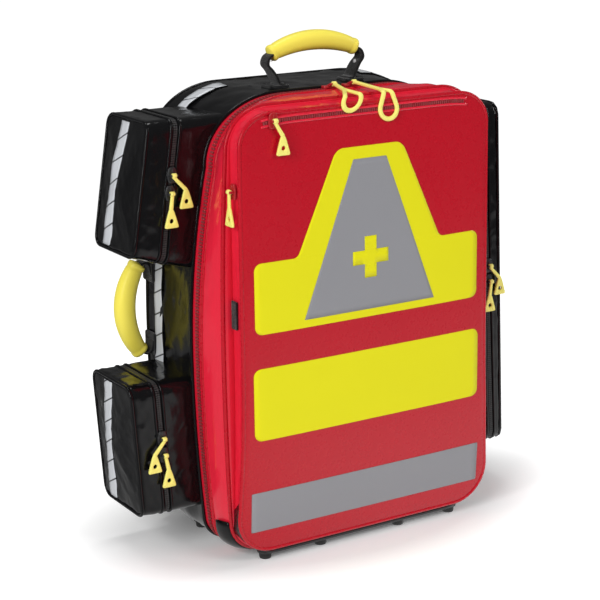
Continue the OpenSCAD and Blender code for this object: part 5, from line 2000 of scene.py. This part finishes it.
@dataclass
class Studio:
    """Floor, lights and camera."""

    azimuth: float = -31.3
    elevation: float = 15.0
    roll: float = -0.8
    place: Point = (-1.06732, -1.72683, 0.81004)
    lens: float = 105.04

    def camera(self) -> None:
        """Aims the camera: back, right and up from azimuth and elevation, then rolled."""
        a, e, r = (math.radians(v) for v in (self.azimuth, self.elevation, self.roll))
        back = Vector((math.sin(a) * math.cos(e), -math.cos(a) * math.cos(e), math.sin(e)))
        right = Vector((math.cos(a), math.sin(a), 0.0))
        up = back.cross(right)
        across = right * math.cos(r) + up * math.sin(r)
        above = up * math.cos(r) - right * math.sin(r)
        data = bpy.data.cameras.new("camera")
        data.lens, data.sensor_width = self.lens, 36.0
        data.clip_start, data.clip_end = 0.05, 50.0
        cam = bpy.data.objects.new("camera", data)
        turn = Matrix((across, above, back)).transposed().to_4x4()
        cam.matrix_world = Matrix.Translation(self.place) @ turn
        bpy.context.scene.collection.objects.link(cam)
        bpy.context.scene.camera = cam

    def floor(self) -> None:
        """A wide pale matt floor that glows.

        To the camera the glow grows away from the pack, so it is weaker near it: a painted shadow
        round the pack. In glossy surfaces the floor is dark, with a glowing part in front: painted
        reflections.
        """
        mesh = bpy.data.meshes.new("floor")
        s = 1.25
        mesh.from_pydata([(-s, -s, 0), (s, -s, 0), (s, s, 0), (-s, s, 0)], [], [(0, 1, 2, 3)])
        mat = bpy.data.materials.new("pale_floor")
        mat.use_nodes = True
        shader = mat.node_tree.nodes["Principled BSDF"]
        shader.inputs["Emission Color"].default_value = (1.0, 1.0, 1.0, 1.0)
        sheet = Sheet(mat.node_tree)
        path = sheet.add("LightPath").outputs
        spot = sheet.xyz(sheet.add("TexCoord").outputs["Object"])
        # Painted reflection: in glossy rays the floor glows in front of the pack, but not to its
        # left.
        ahead = sheet.add("MapRange", {0: spot[1], 1: -1.3, 2: -0.25, 3: 0.0, 4: 0.8}).outputs[0]
        beside = sheet.add("MapRange", {0: spot[0], 1: -0.35, 2: 0.05}).outputs[0]
        painted_reflection = sheet.times(ahead, beside, path["Is Glossy Ray"])
        # Painted shadow: to the camera the glow is weaker near the pack and darkens the floor round
        # it.
        halves = (0.27, 0.17)
        across, along = (sheet.times(spot[n], 1.0 / half) for n, half in enumerate(halves))
        squares = sheet.math("ADD", sheet.times(across, across), sheet.times(along, along))
        glow = sheet.add("MapRange", {0: squares, 1: 0.8, 2: 1.9, 3: 0.08, 4: 0.62}).outputs[0]
        plain = sheet.times(path["Is Camera Ray"], glow)
        mat.node_tree.links.new(sheet.math("ADD", painted_reflection, plain), shader.inputs["Emission Strength"])
        # Painted reflection: the floor's colour is dark in glossy rays.
        tone = sheet.blend(path["Is Glossy Ray"], (0.96, 0.96, 0.96, 1.0), (0.22, 0.22, 0.22, 1.0))
        mat.node_tree.links.new(tone, shader.inputs["Base Color"])
        shader.inputs["Roughness"].default_value = 0.9
        shader.inputs["Specular IOR Level"].default_value = 0.1
        mesh.materials.append(mat)
        obj = bpy.data.objects.new("floor", mesh)
        bpy.context.scene.collection.objects.link(obj)

    @staticmethod
    def lamp(
        name: str, spot: Point, size: tuple[float, float], power: float, mirrored: bool = True
    ) -> None:
        """A rectangular soft light that faces the middle of the pack.

        Args:
            name: its name.
            spot: its place in metres.
            size: width and height in metres.
            power: in watts.
            mirrored: it shows in glossy surfaces.
        """
        data = bpy.data.lights.new(name, "AREA")
        data.shape, data.size, data.size_y = "RECTANGLE", size[0], size[1]
        data.energy = power
        obj = bpy.data.objects.new(name, data)
        obj.location = spot
        way = Vector((0.0, 0.0, 0.3)) - Vector(spot)
        obj.rotation_euler = way.to_track_quat("-Z", "Y").to_euler()
        obj.visible_glossy = mirrored
        bpy.context.scene.collection.objects.link(obj)

    def build(self) -> None:
        """Makes the studio."""
        self.camera()
        self.floor()
        world = bpy.data.worlds.new("studio") if not bpy.data.worlds else bpy.data.worlds[0]
        bpy.context.scene.world = world
        world.use_nodes = True
        sky = world.node_tree.nodes["Background"]
        sky.inputs[0].default_value = (1.0, 1.0, 1.0, 1.0)
        sheet = Sheet(world.node_tree)
        path = sheet.add("LightPath").outputs
        plain = sheet.add("MapRange", {0: path["Is Camera Ray"], 3: 0.32, 4: 1.05}).outputs[0]
        level = sheet.math("SUBTRACT", plain, sheet.times(path["Is Glossy Ray"], 0.22))
        world.node_tree.links.new(level, sky.inputs[1])
        self.lamp("key", (-2.6, -0.9, 1.3), (0.22, 1.9), 20.0)
        self.lamp("left_fill", (-2.6, -1.6, 1.8), (1.2, 1.2), 38.0, False)
        self.lamp("front", (0.9, -3.2, 2.4), (1.6, 1.2), 44.0, False)
        self.lamp("top", (0.0, 0.5, 3.0), (1.4, 0.35), 14.0)
        self.lamp("right", (2.6, -0.6, 1.2), (0.25, 1.6), 10.0)
        bpy.context.scene.view_settings.view_transform = "Standard"


def main() -> None:
    """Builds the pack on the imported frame."""
    logging.basicConfig(level=logging.INFO, format="%(name)s %(message)s")
    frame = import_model()
    studio = Studio()
    studio.build()
    shop = Workshop()
    MainShell(shop).build()
    MainZip(shop).build()
    Lid(shop).build()
    for number, size in enumerate((UPPER, LOWER, LONG)):
        SidePocket(shop, size, 40 + 7 * number).build()
    Handles(shop).build()
    Pulls(shop).build()
    Harness(shop).build(frame)
    Inside(shop).build(frame)


if __name__ == "__main__":
    main()
